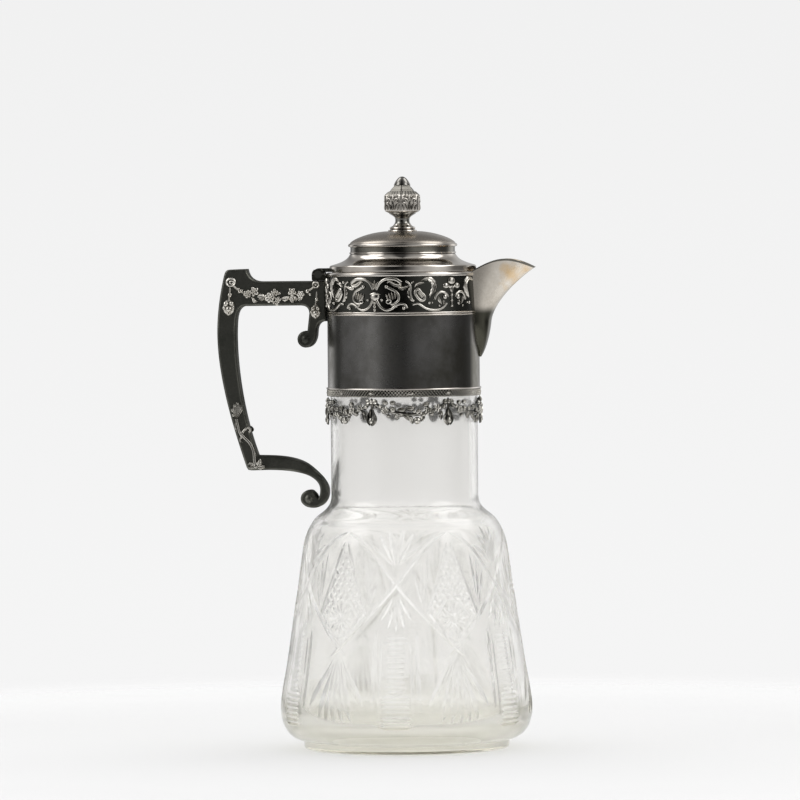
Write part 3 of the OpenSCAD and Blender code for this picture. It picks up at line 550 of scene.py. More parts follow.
def cutPlan():
    # half of one repeat: 0 degrees is the middle of a ladder, 30 degrees the middle of a cell
    c = cutPattern
    plan = []
    # the long crossing mitres, the pointed arch over each cell, the cell's upper sides
    cutLine(plan, [(-3.6, 88.7), (9.9, 74.2), (20.1, 63.7), (34.2, 49.1)], 1.4, 0.85, "line")
    cutLine(plan, [(-1.8, 82.5), (7.5, 93.5), (15.0, 101.5), (22.2, 107.0), (29.1, 109.7)], 1.15, 0.7,
            "line")
    cutLine(plan, [(15.0, 67.5), (22.8, 88.5), (28.8, 105.0)], 0.95, 0.65, "line")
    # fan of leaves above each crossing
    cutLine(plan, [(0.0, 95.0), (0.0, 111.5)], 0.5, 0.35)
    for deg, z, half in ((4.3, 112.4, 1.5), (9.9, 109.4, 1.45), (14.2, 103.6, 1.1)):
        cutLine(plan, [(deg * 0.1, 93.5), (deg * 0.5, (93.5 + z) / 2 + 0.6), (deg, z)], half, 0.9)
    # short fan below the crossing
    for deg, z in ((0.0, 61.5), (4.4, 62.5), (8.4, 66.5)):
        cutLine(plan, [(deg * 0.15, 79.0), (deg, z)], 1.1, 0.6)
    # leaves between arch and cell
    for deg, z in ((9.3, 91.0), (13.3, 96.5), (17.3, 99.5)):
        cutLine(plan, [(14.2, 73.0), (deg, z)], 1.0, 0.55)
    # great fan under each cell
    for deg, z, half in ((30.0, 14.9, 1.9), (25.4, 15.6, 1.7), (21.0, 16.9, 1.7), (15.0, 24.0, 1.6)):
        cutLine(plan, [(30 + (deg - 30) * 0.09, 50.3), (deg, z)], half, 1.1, "drop")
    for deg, z in ((27.8, 24.0), (18.2, 27.5)):
        cutLine(plan, [(30 + (deg - 30) * 0.12, 47.5), (deg, z)], 0.55, 0.35)
    # upright mitres beside the ladder
    cutLine(plan, [(7.9, 17.5), (7.3, 58.0)], 0.7, 0.4, "line")
    cutLine(plan, [(10.8, 22.5), (10.5, 42.5), (10.2, 61.5)], 1.1, 0.75, "line")
    # ladder of level notches
    z = c["ladderLow"]
    while z < c["ladderHigh"]:
        reach = 6.4 if z < 31 else 4.0
        cutLine(plan, [(-reach, z), (reach, z)], c["ladderGap"] / 2.3, 0.6 if z < 31 else 0.25, "notch")
        z += c["ladderGap"]
    # star in the cell
    for k in range(9):
        a = math.radians(k * 22.5 - 90)
        reach = c["starR"] if k % 2 == 0 else c["starR"] * 0.86
        tip = (30.0 - reach * math.cos(a), c["starZ"] + reach * math.sin(a))
        cutLine(plan, [(30.0, c["starZ"]), tip], 1.1, 0.6)
    return plan


def hatchPlan(surface):
    # fine crossing cuts that fill the cell, kept off the star, in unrolled millimetres
    c = cutPattern
    low, side, top = (surface.flat(*c[k]) for k in ("cellLow", "cellSide", "cellTop"))
    centre = surface.flat(30.0, c["starZ"])
    corners = [Vector(low), Vector(side), Vector(top), Vector((2 * low[0] - side[0], side[1]))]
    lines = []
    gap, lean = c["hatchGap"], math.radians(c["hatchAngle"])
    for sign in (-1, 1):
        along = Vector((math.sin(lean) * sign, math.cos(lean)))
        across = Vector((along.y, -along.x))
        for i in range(-24, 25):
            foot = Vector(centre) + across * (gap * i)
            hits = []
            for a, b in zip(corners, corners[1:] + corners[:1]):
                d = b - a
                slope = along.x * d.y - along.y * d.x
                if abs(slope) > 1e-6:
                    s = ((a.x - foot.x) * d.y - (a.y - foot.y) * d.x) / slope
                    t = ((a.x - foot.x) * along.y - (a.y - foot.y) * along.x) / slope
                    if 0 <= t <= 1:
                        hits.append(s)
            if len(hits) < 2:
                continue
            spans = [(min(hits) + 0.7, max(hits) - 0.7)]
            off = abs(gap * i)
            if off < c["starR"]:
                hold = math.sqrt(c["starR"] ** 2 - off ** 2) + 0.5
                spans = [(spans[0][0], -hold), (hold, spans[0][1])]
            for s0, s1 in spans:
                if s1 - s0 > 1.2:
                    lines.append((tuple(foot + along * s0), tuple(foot + along * s1)))
    return lines


class CutSurface:
    # the part of the outside that is cut, unrolled: x round the body, y along its outline
    def __init__(self, rise):
        points = np.array(rise)
        run = np.concatenate(([0], np.cumsum(np.hypot(*np.diff(points, axis=0).T))))
        self.run, self.r, self.z = run, points[:, 0], points[:, 1]
        self.low = float(np.interp(glass["cutLow"], self.z, run))
        self.high = float(np.interp(glass["cutHigh"], self.z, run))
        self.wide = math.radians(30) * glass["unrollR"]

    def flat(self, degrees, z):
        return math.radians(degrees) * glass["unrollR"], float(np.interp(z, self.z, self.run))

    def solid(self, x, y, depth):
        # back onto the body, pushed in along the normal
        r = np.interp(y, self.run, self.r)
        z = np.interp(y, self.run, self.z)
        dr = np.interp(y + 0.4, self.run, self.r) - np.interp(y - 0.4, self.run, self.r)
        dz = np.interp(y + 0.4, self.run, self.z) - np.interp(y - 0.4, self.run, self.z)
        length = np.hypot(dr, dz)
        r = r - depth * dz / length
        z = z + depth * dr / length
        return x / glass["unrollR"], r, z


def cutTaper(kind, t):
    if kind == "leaf":
        return max(math.sin(math.pi * t ** 1.15), 0) ** 0.7
    if kind == "drop":
        return max(math.sin(math.pi * t ** 1.9), 0) ** 0.75
    if kind == "notch":
        return min(1.0, 12 * min(t, 1 - t) + 0.3)
    return min(1.0, 14 * min(t, 1 - t) + 0.1)


def cutSegments(surface):
    # every cut as short straight stretches with a half width and a depth at both ends
    runs = []
    for cut in cutPlan():
        flat = [surface.flat(*p) for p in cut["points"]]
        if cut["points"][0] == (30.0, cutPattern["starZ"]):
            # star rays are drawn in millimetres about their centre
            tip = cut["points"][1]
            flat[1] = (flat[0][0] + tip[0] - 30.0, flat[0][1] + tip[1] - cutPattern["starZ"])
        for mirrorAt in (None, 0.0, surface.wide):
            line = flat
            if mirrorAt is not None:
                line = [(2 * mirrorAt - x, y) for x, y in flat]
                if cut["kind"] == "notch" or all(abs(x - mirrorAt) < 1e-6 for x, y in flat):
                    continue
            if max(x for x, y in line) < -0.2 or min(x for x, y in line) > surface.wide + 0.2:
                continue
            runs.append((line, cut["half"], cut["depth"], cut["kind"]))
    for a, b in hatchPlan(surface):
        runs.append(([a, b], cutPattern["hatchGap"] / 2.1, 0.65, "line"))
    stretches = []
    for line, half, depth, kind in runs:
        lengths = [math.dist(a, b) for a, b in zip(line, line[1:])]
        total = sum(lengths)
        step = 2.2 if kind in ("leaf", "drop") else 5.0
        stations = []
        done = 0.0
        for (a, b), length in zip(zip(line, line[1:]), lengths):
            count = max(1, round(length / step))
            for i in range(count):
                t = (done + length * i / count) / total
                stations.append((a[0] + (b[0] - a[0]) * i / count, a[1] + (b[1] - a[1]) * i / count, t))
            done += length
        stations.append((line[-1][0], line[-1][1], 1.0))
        if kind in ("line", "notch"):
            # short run-outs at the two ends
            for end, near in ((0, 1), (-1, -2)):
                a, b = stations[end], stations[near]
                share = min(0.4, 1.2 / max(math.dist(a[:2], b[:2]), 1e-6))
                extra = tuple(a[k] + (b[k] - a[k]) * share for k in range(3))
                stations.insert(1 if end == 0 else len(stations) - 1, extra)
        sized = []
        for x, y, t in stations:
            size = cutTaper(kind, t)
            sized.append((x, y, half * size, depth * size))
        stretches.append(sized)
    return stretches


def cutMesh(surface):
    # a flat net of triangles whose edges follow every cut, for half of one repeat
    verts = []
    edges = []

    def addLine(points):
        first = len(verts)
        verts.extend(Vector(p) for p in points)
        edges.extend((first + i, first + i + 1) for i in range(len(points) - 1))

    steps = glass["around"] // 12
    low, high, wide = surface.low, surface.high, surface.wide
    addLine([(wide * i / steps, low) for i in range(steps + 1)])
    addLine([(wide * i / steps, high) for i in range(steps + 1)])
    rows = 34
    for x in (0.0, wide):
        addLine([(x, low + (high - low) * i / rows) for i in range(rows + 1)])
    for i in range(1, rows):
        for k in range(1, steps):
            verts.append(Vector((wide * (k + 0.25 * (i % 2 * 2 - 1)) / steps,
                                 low + (high - low) * i / rows)))
    stretches = cutSegments(surface)
    for sized in stretches:
        addLine([p[:2] for p in sized])
        for side in (-1, 1):
            edge = []
            for i, (x, y, w, _) in enumerate(sized):
                a = sized[max(i - 1, 0)]
                b = sized[min(i + 1, len(sized) - 1)]
                length = math.dist(a[:2], b[:2]) or 1.0
                edge.append((x - side * w * (b[1] - a[1]) / length, y + side * w * (b[0] - a[0]) / length))
            addLine(edge)
    net, _, faces, _, _, _ = delaunay_2d_cdt(verts, edges, [], 0, 1e-4)
    points = np.array([(p.x, p.y) for p in net])
    for edgeX in (0.0, wide):
        points[np.abs(points[:, 0] - edgeX) < 2e-3, 0] = edgeX
    keep = []
    for face in faces:
        cx, cy = points[list(face)].mean(axis=0)
        if 0 < cx < wide and low < cy < high:
            keep.append(tuple(face))
    return points, keep, cutDepths(points, stretches)


def cutDepths(points, stretches):
    # the deepest of all the V cuts at each point
    depth = np.zeros(len(points))
    for sized in stretches:
        for (ax, ay, aw, ad), (bx, by, bw, bd) in zip(sized, sized[1:]):
            dx, dy = bx - ax, by - ay
            length = dx * dx + dy * dy
            if length < 1e-9:
                continue
            t = np.clip(((points[:, 0] - ax) * dx + (points[:, 1] - ay) * dy) / length, 0, 1)
            away = np.hypot(points[:, 0] - ax - t * dx, points[:, 1] - ay - t * dy)
            half = aw + (bw - aw) * t
            deep = (ad + (bd - ad) * t) * np.clip(1 - away / np.maximum(half, 1e-4), 0, 1)
            depth = np.maximum(depth, deep)
    return depth


def glassShape():
    foot, rise, neck, inside = glassOutline()
    surface = CutSurface(rise)
    points, faces, depth = cutMesh(surface)
    # no cut may reach the smooth rings above and below
    edgeRoom = np.minimum(points[:, 1] - surface.low, surface.high - points[:, 1])
    depth = depth * np.clip(edgeRoom / 1.2, 0, 1)
    angle, r, z = surface.solid(points[:, 0], points[:, 1], depth)
    shape = newShape()
    shape["frost"] = [clouding["cuts"] if max(depth[i] for i in face) > 0.05 else 0.0 for face in faces] * 12
    for k in range(6):
        for flip in (1, -1):
            turn = math.radians(60 * k - 90) + flip * angle
            verts = np.column_stack((r * np.cos(turn), r * np.sin(turn), z)).tolist()
            addMesh(shape, verts, [face[::flip] for face in faces])
    lowR, lowZ = float(np.interp(surface.low, surface.run, surface.r)), glass["cutLow"]
    highR, highZ = float(np.interp(surface.high, surface.run, surface.r)), glass["cutHigh"]
    below = foot + [p for p in rise if p[1] < glass["cutLow"] - 0.2] + [(lowR, lowZ)]
    outer = [(highR, highZ)] + [p for p in rise if p[1] > glass["cutHigh"] + 0.2] + neck
    around = glass["around"]
    # ground underside, clear outside, clouded inside
    for profile, cloudFrom, cloudTo in ((below, 0, 4), (outer + inside, len(outer), len(outer + inside))):
        start = len(shape["verts"])
        size = len(profile)
        for k in range(around):
            a = math.tau * k / around - math.pi / 2
            shape["verts"] += [(pr * math.cos(a), pr * math.sin(a), pz) for pr, pz in profile]
        for k in range(around):
            here, ahead = start + k * size, start + (k + 1) % around * size
            for i in range(size - 1):
                shape["faces"].append((here + i, ahead + i, ahead + i + 1, here + i + 1))
                cloud = "wall"
                if profile[i][1] > glass["neckZ"] - 10:
                    cloud = "neck"
                elif profile[i][1] < glass["bottom"] + 0.5:
                    cloud = "bottom"
                shape["frost"].append(clouding[cloud] if cloudFrom <= i < cloudTo else 0.0)
    return shape


glassBody = makePiece("cutGlassBody", glassShape(), finish["cutCrystal"], "jug", ["glass_body"],
                      14)
print("glass body", len(glassBody.data.vertices), "points")


# Collar, rings and wires

collar = {"r": 38.0, "wall": 0.9, "low": 176.3, "top": 236.2, "around": 240,
          "windowLow": 207.3, "windowHigh": 234.7, "windowReach": 0.32, "bracketHalf": 6.15}


def jointSide(row):
    # half width and height of the spout's seam; row runs from 0 at its point to 18 at the mouth
    waist = (10.16, 212.0)
    low = [(1.6, 195.6), (5.54, 199.6), (9.24, 205.8), waist]
    high = [waist, (10.96, 219.5), (12.28, 230.0), (13.2, 238.6)]
    part, t = (low, row / 9) if row < 9 else (high, row / 9 - 1)
    return bezierAt(part, t)


seamLine = [jointSide(i * 0.25) for i in range(73)]


def seamHalf(z):
    # half width of the spout's seam at a height
    for (wa, za), (wb, zb) in zip(seamLine, seamLine[1:]):
        if za <= z <= zb:
            return wa + (wb - wa) * (z - za) / (zb - za)
    return seamLine[-1][0] if z > seamLine[-1][1] else 0.0


def sleeveShape():
    # thin sleeve with rolled lower edge; its window behind the spout is cut by leaving faces out
    c = collar
    shape = newShape()
    inner = c["r"] - c["wall"]
    low, high, reach, size = c["windowLow"], c["windowHigh"], c["windowReach"], c["around"]
    heights = [c["low"], c["low"] + 0.25]
    heights += [c["low"] + 0.5 + i * (low - c["low"] - 0.5) / 12 for i in range(13)]
    heights += [low + i * (high - low) / 14 for i in range(1, 15)] + [c["top"] - 0.3, c["top"]]
    beside = [low - 0.3 < z < high + 0.3 for z in heights]
    for z, cut in zip(heights, beside):
        half = max(seamHalf(z) - 2, 0.0) if cut else 0.0
        edge = math.asin(half / c["r"])
        for r in (c["r"], inner):
            rr = r - 0.15 if z == c["low"] and r == c["r"] else r
            for k in range(size):
                turn = (math.tau * (k + 0.5) / size + math.pi) % math.tau - math.pi
                if half and abs(turn) < reach:
                    # slide the nearest columns onto the window's edge
                    turn = math.copysign(edge + (abs(turn) / reach) * (reach - edge), turn)
                shape["verts"].append((rr * math.cos(turn), rr * math.sin(turn), z))

    def spot(row, skin, k):
        return (row * 2 + skin) * size + k % size

    def quad(*corners):
        shape["faces"].append(tuple(spot(*corner) for corner in corners))

    last = len(heights) - 1
    for row in range(last):
        for k in range(size):
            if k == size - 1 and beside[row] and beside[row + 1]:
                continue
            quad((row, 0, k), (row, 0, k + 1), (row + 1, 0, k + 1), (row + 1, 0, k))
            quad((row, 1, k + 1), (row, 1, k), (row + 1, 1, k), (row + 1, 1, k + 1))
    for row in (0, last):
        for k in range(size):
            quad((row, 0, k), (row, 1, k), (row, 1, k + 1), (row, 0, k + 1))
    # the edges of the window
    gap = [row for row in range(last + 1) if beside[row]]
    for row in gap[:-1]:
        for k in (size - 1, 0):
            quad((row, 0, k), (row, 1, k), (row + 1, 1, k), (row + 1, 0, k))
    for row in (gap[0], gap[-1]):
        quad((row, 0, size - 1), (row, 0, 0), (row, 1, 0), (row, 1, size - 1))
    return shape


makePiece("collarSleeve", sleeveShape(), finish["duskySleeve"], "jug", ["collar"], 40)


def arcBand(profile, target, steps=110):
    # a strip round the collar in two halves, from the spout's seam back to the bracket
    bracket = math.asin(collar["bracketHalf"] / collar["r"])
    for side in (-1, 1):
        start = len(target["verts"])
        for k in range(steps + 1):
            for r, z in profile:
                begin = math.asin((seamHalf(z) + 0.06) / collar["r"])
                a = begin + (math.pi - bracket - begin) * k / steps
                target["verts"].append((r * math.cos(a), side * r * math.sin(a), z))
        joinLoops(target, start, steps + 1, len(profile))
    return target


def wireProfile(low, high, out):
    middle, half, r = (low + high) / 2, (high - low) / 2, collar["r"] - 0.05
    points = [(r, low), (r + 0.02, low)]
    for k in range(1, 8):
        a = math.radians(-90 + 22.5 * k)
        points.append((r + (out + 0.05) * math.cos(a) ** 0.8, middle + half * math.sin(a)))
    return points + [(r + 0.02, high), (r, high)]


def brightPiece(name, shape, node, body="jug", sharp=32):
    return makePiece(name, shape, finish["brightSilver"], body, [node], sharp)


brightPiece("friezeUpperWire", arcBand(wireProfile(236.0, 237.7, 0.7), newShape()), "frieze_upper_wire")
lowerWires = arcBand(wireProfile(217.62, 218.6, 0.7), newShape())
arcBand(wireProfile(216.6, 217.62, 0.6), lowerWires)
brightPiece("friezeLowerWires", lowerWires, "frieze_lower_wire")

mouthRing = [(35.8, 236.2), (38.0, 236.2), (38.0, 237.45), (37.85, 237.8), (37.5, 238.0), (36.1, 238.0),
             (35.86, 237.9),
             (35.8, 237.7)]
brightPiece("mouthRingPiece", spun(mouthRing), "mouth_ring")
brightPiece("borderBeadWire", spun(wireProfile(179.7, 180.7, 0.8), 200), "border_bead")
print("collar and wires")


# Frieze: scrolls on a dark band

frieze = {"low": 218.6, "high": 236.0, "groundR": 38.3, "bold": 1.2, "repeats": 3, "motifAngle": -106.4,
          "scrollRun": 40.2}


def scrollRun(shape, x0, way):
    # from the cup at x0 to the balls one run away; way is 1 or -1
    def at(points):
        return [(x0 + way * x, y) for x, y in points]

    def far(points):
        # measured back from the balls
        return at([(frieze["scrollRun"] - x, y) for x, y in points])

    addStem(shape, at([(0.9, 2.3), (2.3, 5.0), (4.6, 7.0), (7.7, 7.6), (10.9, 7.2), (13.3, 5.7)]), 0.45,
            0.75)
    addLeaf(shape, at([(13.6, 5.6), (12.4, 4.3), (10.2, 4.6), (7.8, 6.0), (6.2, 5.6)]), 0.9, 0.7)
    addLeaf(shape, at([(11.6, 4.0), (13.1, 2.8), (15.0, 3.2), (18.6, 4.6)]), 0.8, 0.7, ribs=4)
    lower = [(1.0, -2.9), (2.2, -5.2), (3.9, -7.0), (6.3, -7.9), (8.7, -7.2), (10.7, -5.7), (13.2, -4.8),
             (15.4, -5.3), (16.3, -6.9)]
    addStem(shape, at(lower), 0.55, 0.42)
    addBlob(shape, x0 + way * 14.6, -6.9, 0.35, 0.75, 0.75, 0.75)
    # hatched bud
    bud = [(6.1, 3.7), (8.4, 2.5), (10.9, 1.2), (12.2, -1.0), (11.8, -3.3), (9.5, -4.8), (7.3, -4.2)]
    addStem(shape, at(bud), 0.6, 0.45)
    addBlob(shape, x0 + way * 6.1, 3.7, 0.5, 0.8, 0.8, 0.7)
    for k in range(4):
        hatch = [(5.9 + 1.4 * k, 0.2 + 0.5 * k), (6.6 + 1.3 * k, -1.7 + 0.3 * k),
                 (7.4 + 1.0 * k, -3.6 + 0.4 * k)]
        addLeaf(shape, at(hatch), 0.52, 0.75, 0.25)
    addRing(shape, x0 + way * 7.3, -3.6, 0.45, 1.2, 0.9, 0.36, 20, 12)
    addLeaf(shape, at([(8.0, -5.0), (9.6, -6.2), (11.6, -6.5)]), 0.5, 0.5)
    addBlob(shape, x0 + way * 3.7, -2.9, 0.35, 0.6, 0.6, 0.6)
    # foliage half way
    for x, y, turn in ((17.3, 2.4, 70), (16.8, 0.6, 95), (17.2, -1.4, 120), (18.4, -3.0, 140),
                       (19.0, 5.8, 40)):
        c, s = math.cos(math.radians(turn)), math.sin(math.radians(turn))
        leaf = [(x - 0.9 * c, y - 0.9 * s), (x, y), (x + 1.1 * c, y + 1.1 * s)]
        addLeaf(shape, at(leaf), 0.5, 0.55, steps=3)
    addStem(shape, at([(15.5, 6.4), (17.2, 5.4), (18.2, 3.4), (18.0, 0.8), (18.6, -2.2), (19.6, -3.6)]),
            0.38, 0.38)
    # ribbon bud
    ribbon = [(19.4, 2.0), (18.2, 2.3), (16.6, 0.4), (15.0, -1.2), (15.5, -2.9), (17.3, -3.0), (18.9, -1.4),
              (19.9, 0.5), (19.4, 2.0)]
    addStem(shape, far(ribbon), 0.6, 0.6, 0.45)
    addStem(shape, far([(18.4, 0.9), (17.4, -0.4), (16.4, -1.7)]), 0.42, 0.42, 0.35)
    # leafy arc
    addLeaf(shape, far([(20.3, 3.5), (18.2, 5.1), (15.2, 5.6)]), 0.7, 0.65)
    arc = [(17.3, 6.4), (14.2, 7.5), (11.5, 6.9), (9.9, 4.8), (10.3, 2.1), (11.7, -0.4), (12.9, -2.0)]
    addLeaf(shape, far(arc), 1.25, 0.85, ribs=7, full=0.5)
    sweep = [(21.2, -5.2), (18.8, -4.7), (17.0, -5.5), (15.1, -6.8), (12.9, -7.6), (10.1, -8.0), (7.1, -7.6),
             (4.7, -6.3), (3.1, -4.6)]
    addStem(shape, far(sweep), 0.42, 0.55)
    addStem(shape, far([(9.8, -2.8), (8.9, -0.7), (7.1, 0.8), (4.9, 0.8), (2.7, -0.5), (2.5, -1.6)]), 0.5,
            0.55)
    addLeaf(shape, far([(7.8, -1.2), (7.2, -3.2), (6.2, -5.2)]), 0.75, 0.6)
    addLeaf(shape, far([(5.0, -3.0), (4.6, -4.2), (5.0, -5.6)]), 0.6, 0.55)
    addBlob(shape, *far([(4.1, -1.5)])[0], 0.4, 1.05, 1.05, 0.8)
    for x, y, r in ((12.8, -4.5, 0.65), (7.4, -5.9, 0.5), (11.2, -4.4, 0.4)):
        addBlob(shape, *far([(x, y)])[0], 0.35, r, r, r)


def cupMotif(shape, x0):
    addLeaf(shape, [(x0 - 3.0, -0.1), (x0, 0.35), (x0 + 3.0, -0.1)], 0.62, 0.95, section=roundSection)
    addBlob(shape, x0, -1.3, 0.2, 2.0, 1.5, 0.7)
    addRing(shape, x0, -2.6, 0.3, 0.7, 0.35, 0.25, 0, 10)
    for y, r in ((-4.4, 0.62), (-6.1, 0.72), (-7.8, 0.62)):
        addBlob(shape, x0, y, 0.35, r, r * 1.1, r)
    for lean in (-1, 0, 1):
        leaf = [(x0 + 0.3 * lean, 2.6), (x0 + 1.1 * lean, 4.8), (x0 + 2.2 * lean, 7.2 - 0.9 * abs(lean))]
        addLeaf(shape, leaf, 0.52, 0.7)


def ballMotif(shape, x0):
    addBlob(shape, x0, 6.4, 0.3, 1.9, 1.5, 1.0)
    for side in (-1, 1):
        addBlob(shape, x0 + 3.5 * side, 4.0, 0.3, 1.45, 1.2, 0.9)
        addStem(shape, [(x0 + 2.3 * side, 4.2), (x0 + 1.0 * side, 3.2), (x0, 3.4)], 0.4, 0.5)
    addLeaf(shape, [(x0, 4.3), (x0, 2.4), (x0, 0.4)], 0.9, 0.8)
    addStem(shape, [(x0, 0.4), (x0, -2.6), (x0, -5.4)], 0.45, 0.3)
    for y in (-0.6, -3.4, -6.0):
        addBlob(shape, x0, y, 0.3, 0.75, 0.5, 0.6)


def friezeShape():
    c = frieze
    flat = newShape(c["bold"])
    for k in range(c["repeats"]):
        start = 2 * c["scrollRun"] * k
        cupMotif(flat, start)
        ballMotif(flat, start + c["scrollRun"])
        scrollRun(flat, start, 1)
        scrollRun(flat, start + 2 * c["scrollRun"], -1)
    shape = newShape()
    drawnRun = 2 * c["repeats"] * c["scrollRun"]
    wrapped(flat, c["groundR"], c["motifAngle"], (c["low"] + c["high"]) / 2, shape, drawnRun)
    # relief that would run into the spout or the bracket is left off, whole ornament by ornament
    shape = trimmed(shape)
    inner, outer = collar["r"] - 0.05, c["groundR"]
    return arcBand([(inner, c["low"]), (outer, c["low"]), (outer, c["high"]), (inner, c["high"])], shape)


def trimmed(shape):
    # drops each ornament that crosses the spout's seam or the handle's bracket
    group = list(range(len(shape["verts"])))

    def root(i):
        while group[i] != i:
            group[i] = group[group[i]]
            i = group[i]
        return i

    for face in shape["faces"]:
        first = root(face[0])
        for i in face[1:]:
            group[root(i)] = first
    dropped = set()
    for i, (x, y, z) in enumerate(shape["verts"]):
        limit = seamHalf(z) + 0.25 if x > 0 else 6.3
        if abs(y) < limit:
            dropped.add(root(i))
    kept = [face for face in shape["faces"] if root(face[0]) not in dropped]
    used = sorted({i for face in kept for i in face})
    place = {old: new for new, old in enumerate(used)}
    left = newShape()
    left["verts"] = [shape["verts"][i] for i in used]
    left["faces"] = [tuple(place[i] for i in face) for face in kept]
    return left


friezePiece = makePiece("friezeScrolls", friezeShape(), finish["friezeSilver"], "jug",
                        ["frieze_band"], 45)
print("frieze", len(friezePiece.data.vertices), "points")


# Trellis border

trellis = {"low": 176.3, "high": 179.7, "r": 38.1, "backR": 37.98, "frontR": 38.12, "columns": 142,
           "studs": 12}


def trellisShape():
    t = trellis
    shape = newShape()
    spun([(t["backR"], t["low"]), (t["frontR"], t["low"]), (t["frontR"], t["high"]),
          (t["backR"], t["high"])], 160, shape)
    spun(wireProfile(t["low"], t["low"] + 0.5, 0.42), 160, shape)
    flat = newShape()
    pitch = math.tau * t["r"] / t["columns"]
    low, high = 0.35, t["high"] - t["low"] - 0.05
    run = (high - low) / 1.5 * 1.35
    section = roundSection[:5] + [(-0.7, -0.7), (0.7, -0.7)]
    for k in range(t["columns"]):
        x = k * pitch
        for way in (-1, 1):
            line = [(x, low), (x + way * run / 2, (low + high) / 2), (x + way * run, high)]
            addSweep(flat, line, [0.17] * 3, [0.3] * 3, section, 0.1)
    for k in range(t["studs"]):
        addBlob(flat, (2 * k + 0.5) / (2 * t["studs"]) * math.tau * t["r"], 1.7, 0.2, 1.5, 0.75, 0.5)
    wrapped(flat, t["r"], 2.5, t["low"], shape)
    return shape


makePiece("trellisStrip", trellisShape(), finish["trellisSilver"], "jug",
          ["trellis_border"], 45)


# Festoons over the glass

festoon = {"firstDrop": -110.0, "swags": 6, "swagRun": 40.4, "inner": 37.2}


def leafSpray(shape, x, y, turn, length, width, base=0.9, ribs=3):
    a = math.radians(turn)
    c, s = math.cos(a), math.sin(a)
    points = [(x, y), (x + 0.5 * length * c - 0.12 * length * s, y + 0.5 * length * s + 0.12 * length * c),
              (x + length * c, y + length * s)]
    addLeaf(shape, points, width, 0.7, base, ribs)


def hangingDrop(shape, x):
    # bow with two round loops, and a long bud under it
    for side in (-1, 1):
        addBlob(shape, x + 1.9 * side, -2.3, 0.8, 1.45, 1.3, 0.8)
        addRing(shape, x + 1.9 * side, -2.3, 1.3, 1.0, 0.85, 0.36, -25 * side, 14)
        addLeaf(shape, [(x + 0.5 * side, -2.6), (x + 1.9 * side, -4.0), (x + 2.6 * side, -5.4)], 0.7, 0.7,
                0.7)
    addBlob(shape, x, -2.4, 1.2, 0.9, 1.2, 0.9)
    addLeaf(shape, [(x, -0.4), (x + 0.2, -3.4), (x, -7.2)], 0.9, 0.9, 0.7)
    addLeaf(shape, [(x, -3.8), (x + 0.1, -8.8), (x, -14.4)], 2.35, 1.1, 0.6, full=0.68)
    for side in (-1, 1):
        addLeaf(shape, [(x + 0.3 * side, -5.6), (x + 2.0 * side, -9.0), (x + 2.3 * side, -11.6),
                        (x + 0.8 * side, -14.2)],
                0.7, 0.8, 1.1, full=0.6)
    addLeaf(shape, [(x - 0.2, -5.8), (x - 0.5, -8.0), (x - 0.2, -9.8)], 0.6, 0.8, 1.6)
    addBlob(shape, x, -11.6, 1.2, 1.45, 1.6, 1.1)
    addRing(shape, x, -11.9, 2.0, 0.85, 0.8, 0.28, 0, 12)


# places on a swag are (share of its run, depth)
festoonMasses = [(0.18, 2.9, 1.5, 1.2), (0.275, 2.8, 1.6, 1.2), (0.275, 6.2, 1.6, 1.6),
                 (0.22, 9.2, 1.0, 0.9),
                 (0.39, 6.3, 2.4, 1.3), (0.5, 5.6, 2.3, 1.4), (0.6, 7.0, 1.5, 1.2), (0.695, 3.7, 1.7, 1.4),
                 (0.77, 8.3, 1.4, 1.3), (0.66, 8.8, 1.3, 1.0), (0.9, 8.2, 1.0, 1.2)]
festoonFlowers = [(0.184, 6.6, 2.0, 6, 10), (0.716, 6.6, 2.1, 6, 25), (0.84, 5.5, 2.0, 5, 0),
                  (0.34, 9.4, 1.3, 5, 40)]
festoonBeads = [(0.54, 7.2, 0.7), (0.58, 7.7, 0.7), (0.625, 8.0, 0.7), (0.12, 4.6, 0.8), (0.93, 5.0, 0.8),
                (0.45, 8.4, 0.6)]
festoonLeaves = [(0.3, 8.4, -60, 3.2, 1.1), (0.33, 8.4, -20, 3.6, 1.1), (0.41, 8.4, -50, 4.2, 1.3),
                 (0.47, 9.6, -60, 4.4, 1.3),
                 (0.66, 8.6, -120, 4.0, 1.2), (0.87, 6.8, -80, 4.8, 1.4), (0.14, 6.4, -60, 2.6, 1.0)]


def swag(shape, x0):
    # a thick rope of rounded leaves and flowers with a ball at its lowest place
    def place(t, depth):
        return x0 + t * festoon["swagRun"], -depth

    rope = [(0.06, 3.6), (0.16, 5.8), (0.28, 7.4), (0.4, 8.2), (0.52, 8.6), (0.64, 8.2), (0.75, 7.2),
            (0.86, 6.0), (0.95, 3.6)]
    addStem(shape, [place(*p) for p in rope], 0.95, 0.95, 0.6, 0.8)
    for t, depth, rx, ry in festoonMasses:
        x, y = place(t, depth)
        addBlob(shape, x, y, 0.7, rx, ry, 1.0)
        addLeaf(shape, [(x - 0.8 * rx, y), (x, y + 0.3 * ry), (x + 0.8 * rx, y)], 0.35 * ry, 0.5, 1.4)
    for t, depth, turn, length, width in festoonLeaves:
        leafSpray(shape, *place(t, depth), turn, length, width)
    for t, depth, r, petals, turn in festoonFlowers:
        addFlower(shape, *place(t, depth), r, petals, 1.3, turn)
    for t, depth, r in festoonBeads:
        addBlob(shape, *place(t, depth), 1.5, r, r, 0.9 * r)
    x, y = place(0.58, 11.6)
    addBlob(shape, x, y, 0.8, 1.9, 1.9, 1.4)
    addRing(shape, x, y, 1.8, 1.05, 1.0, 0.3, 0, 12)


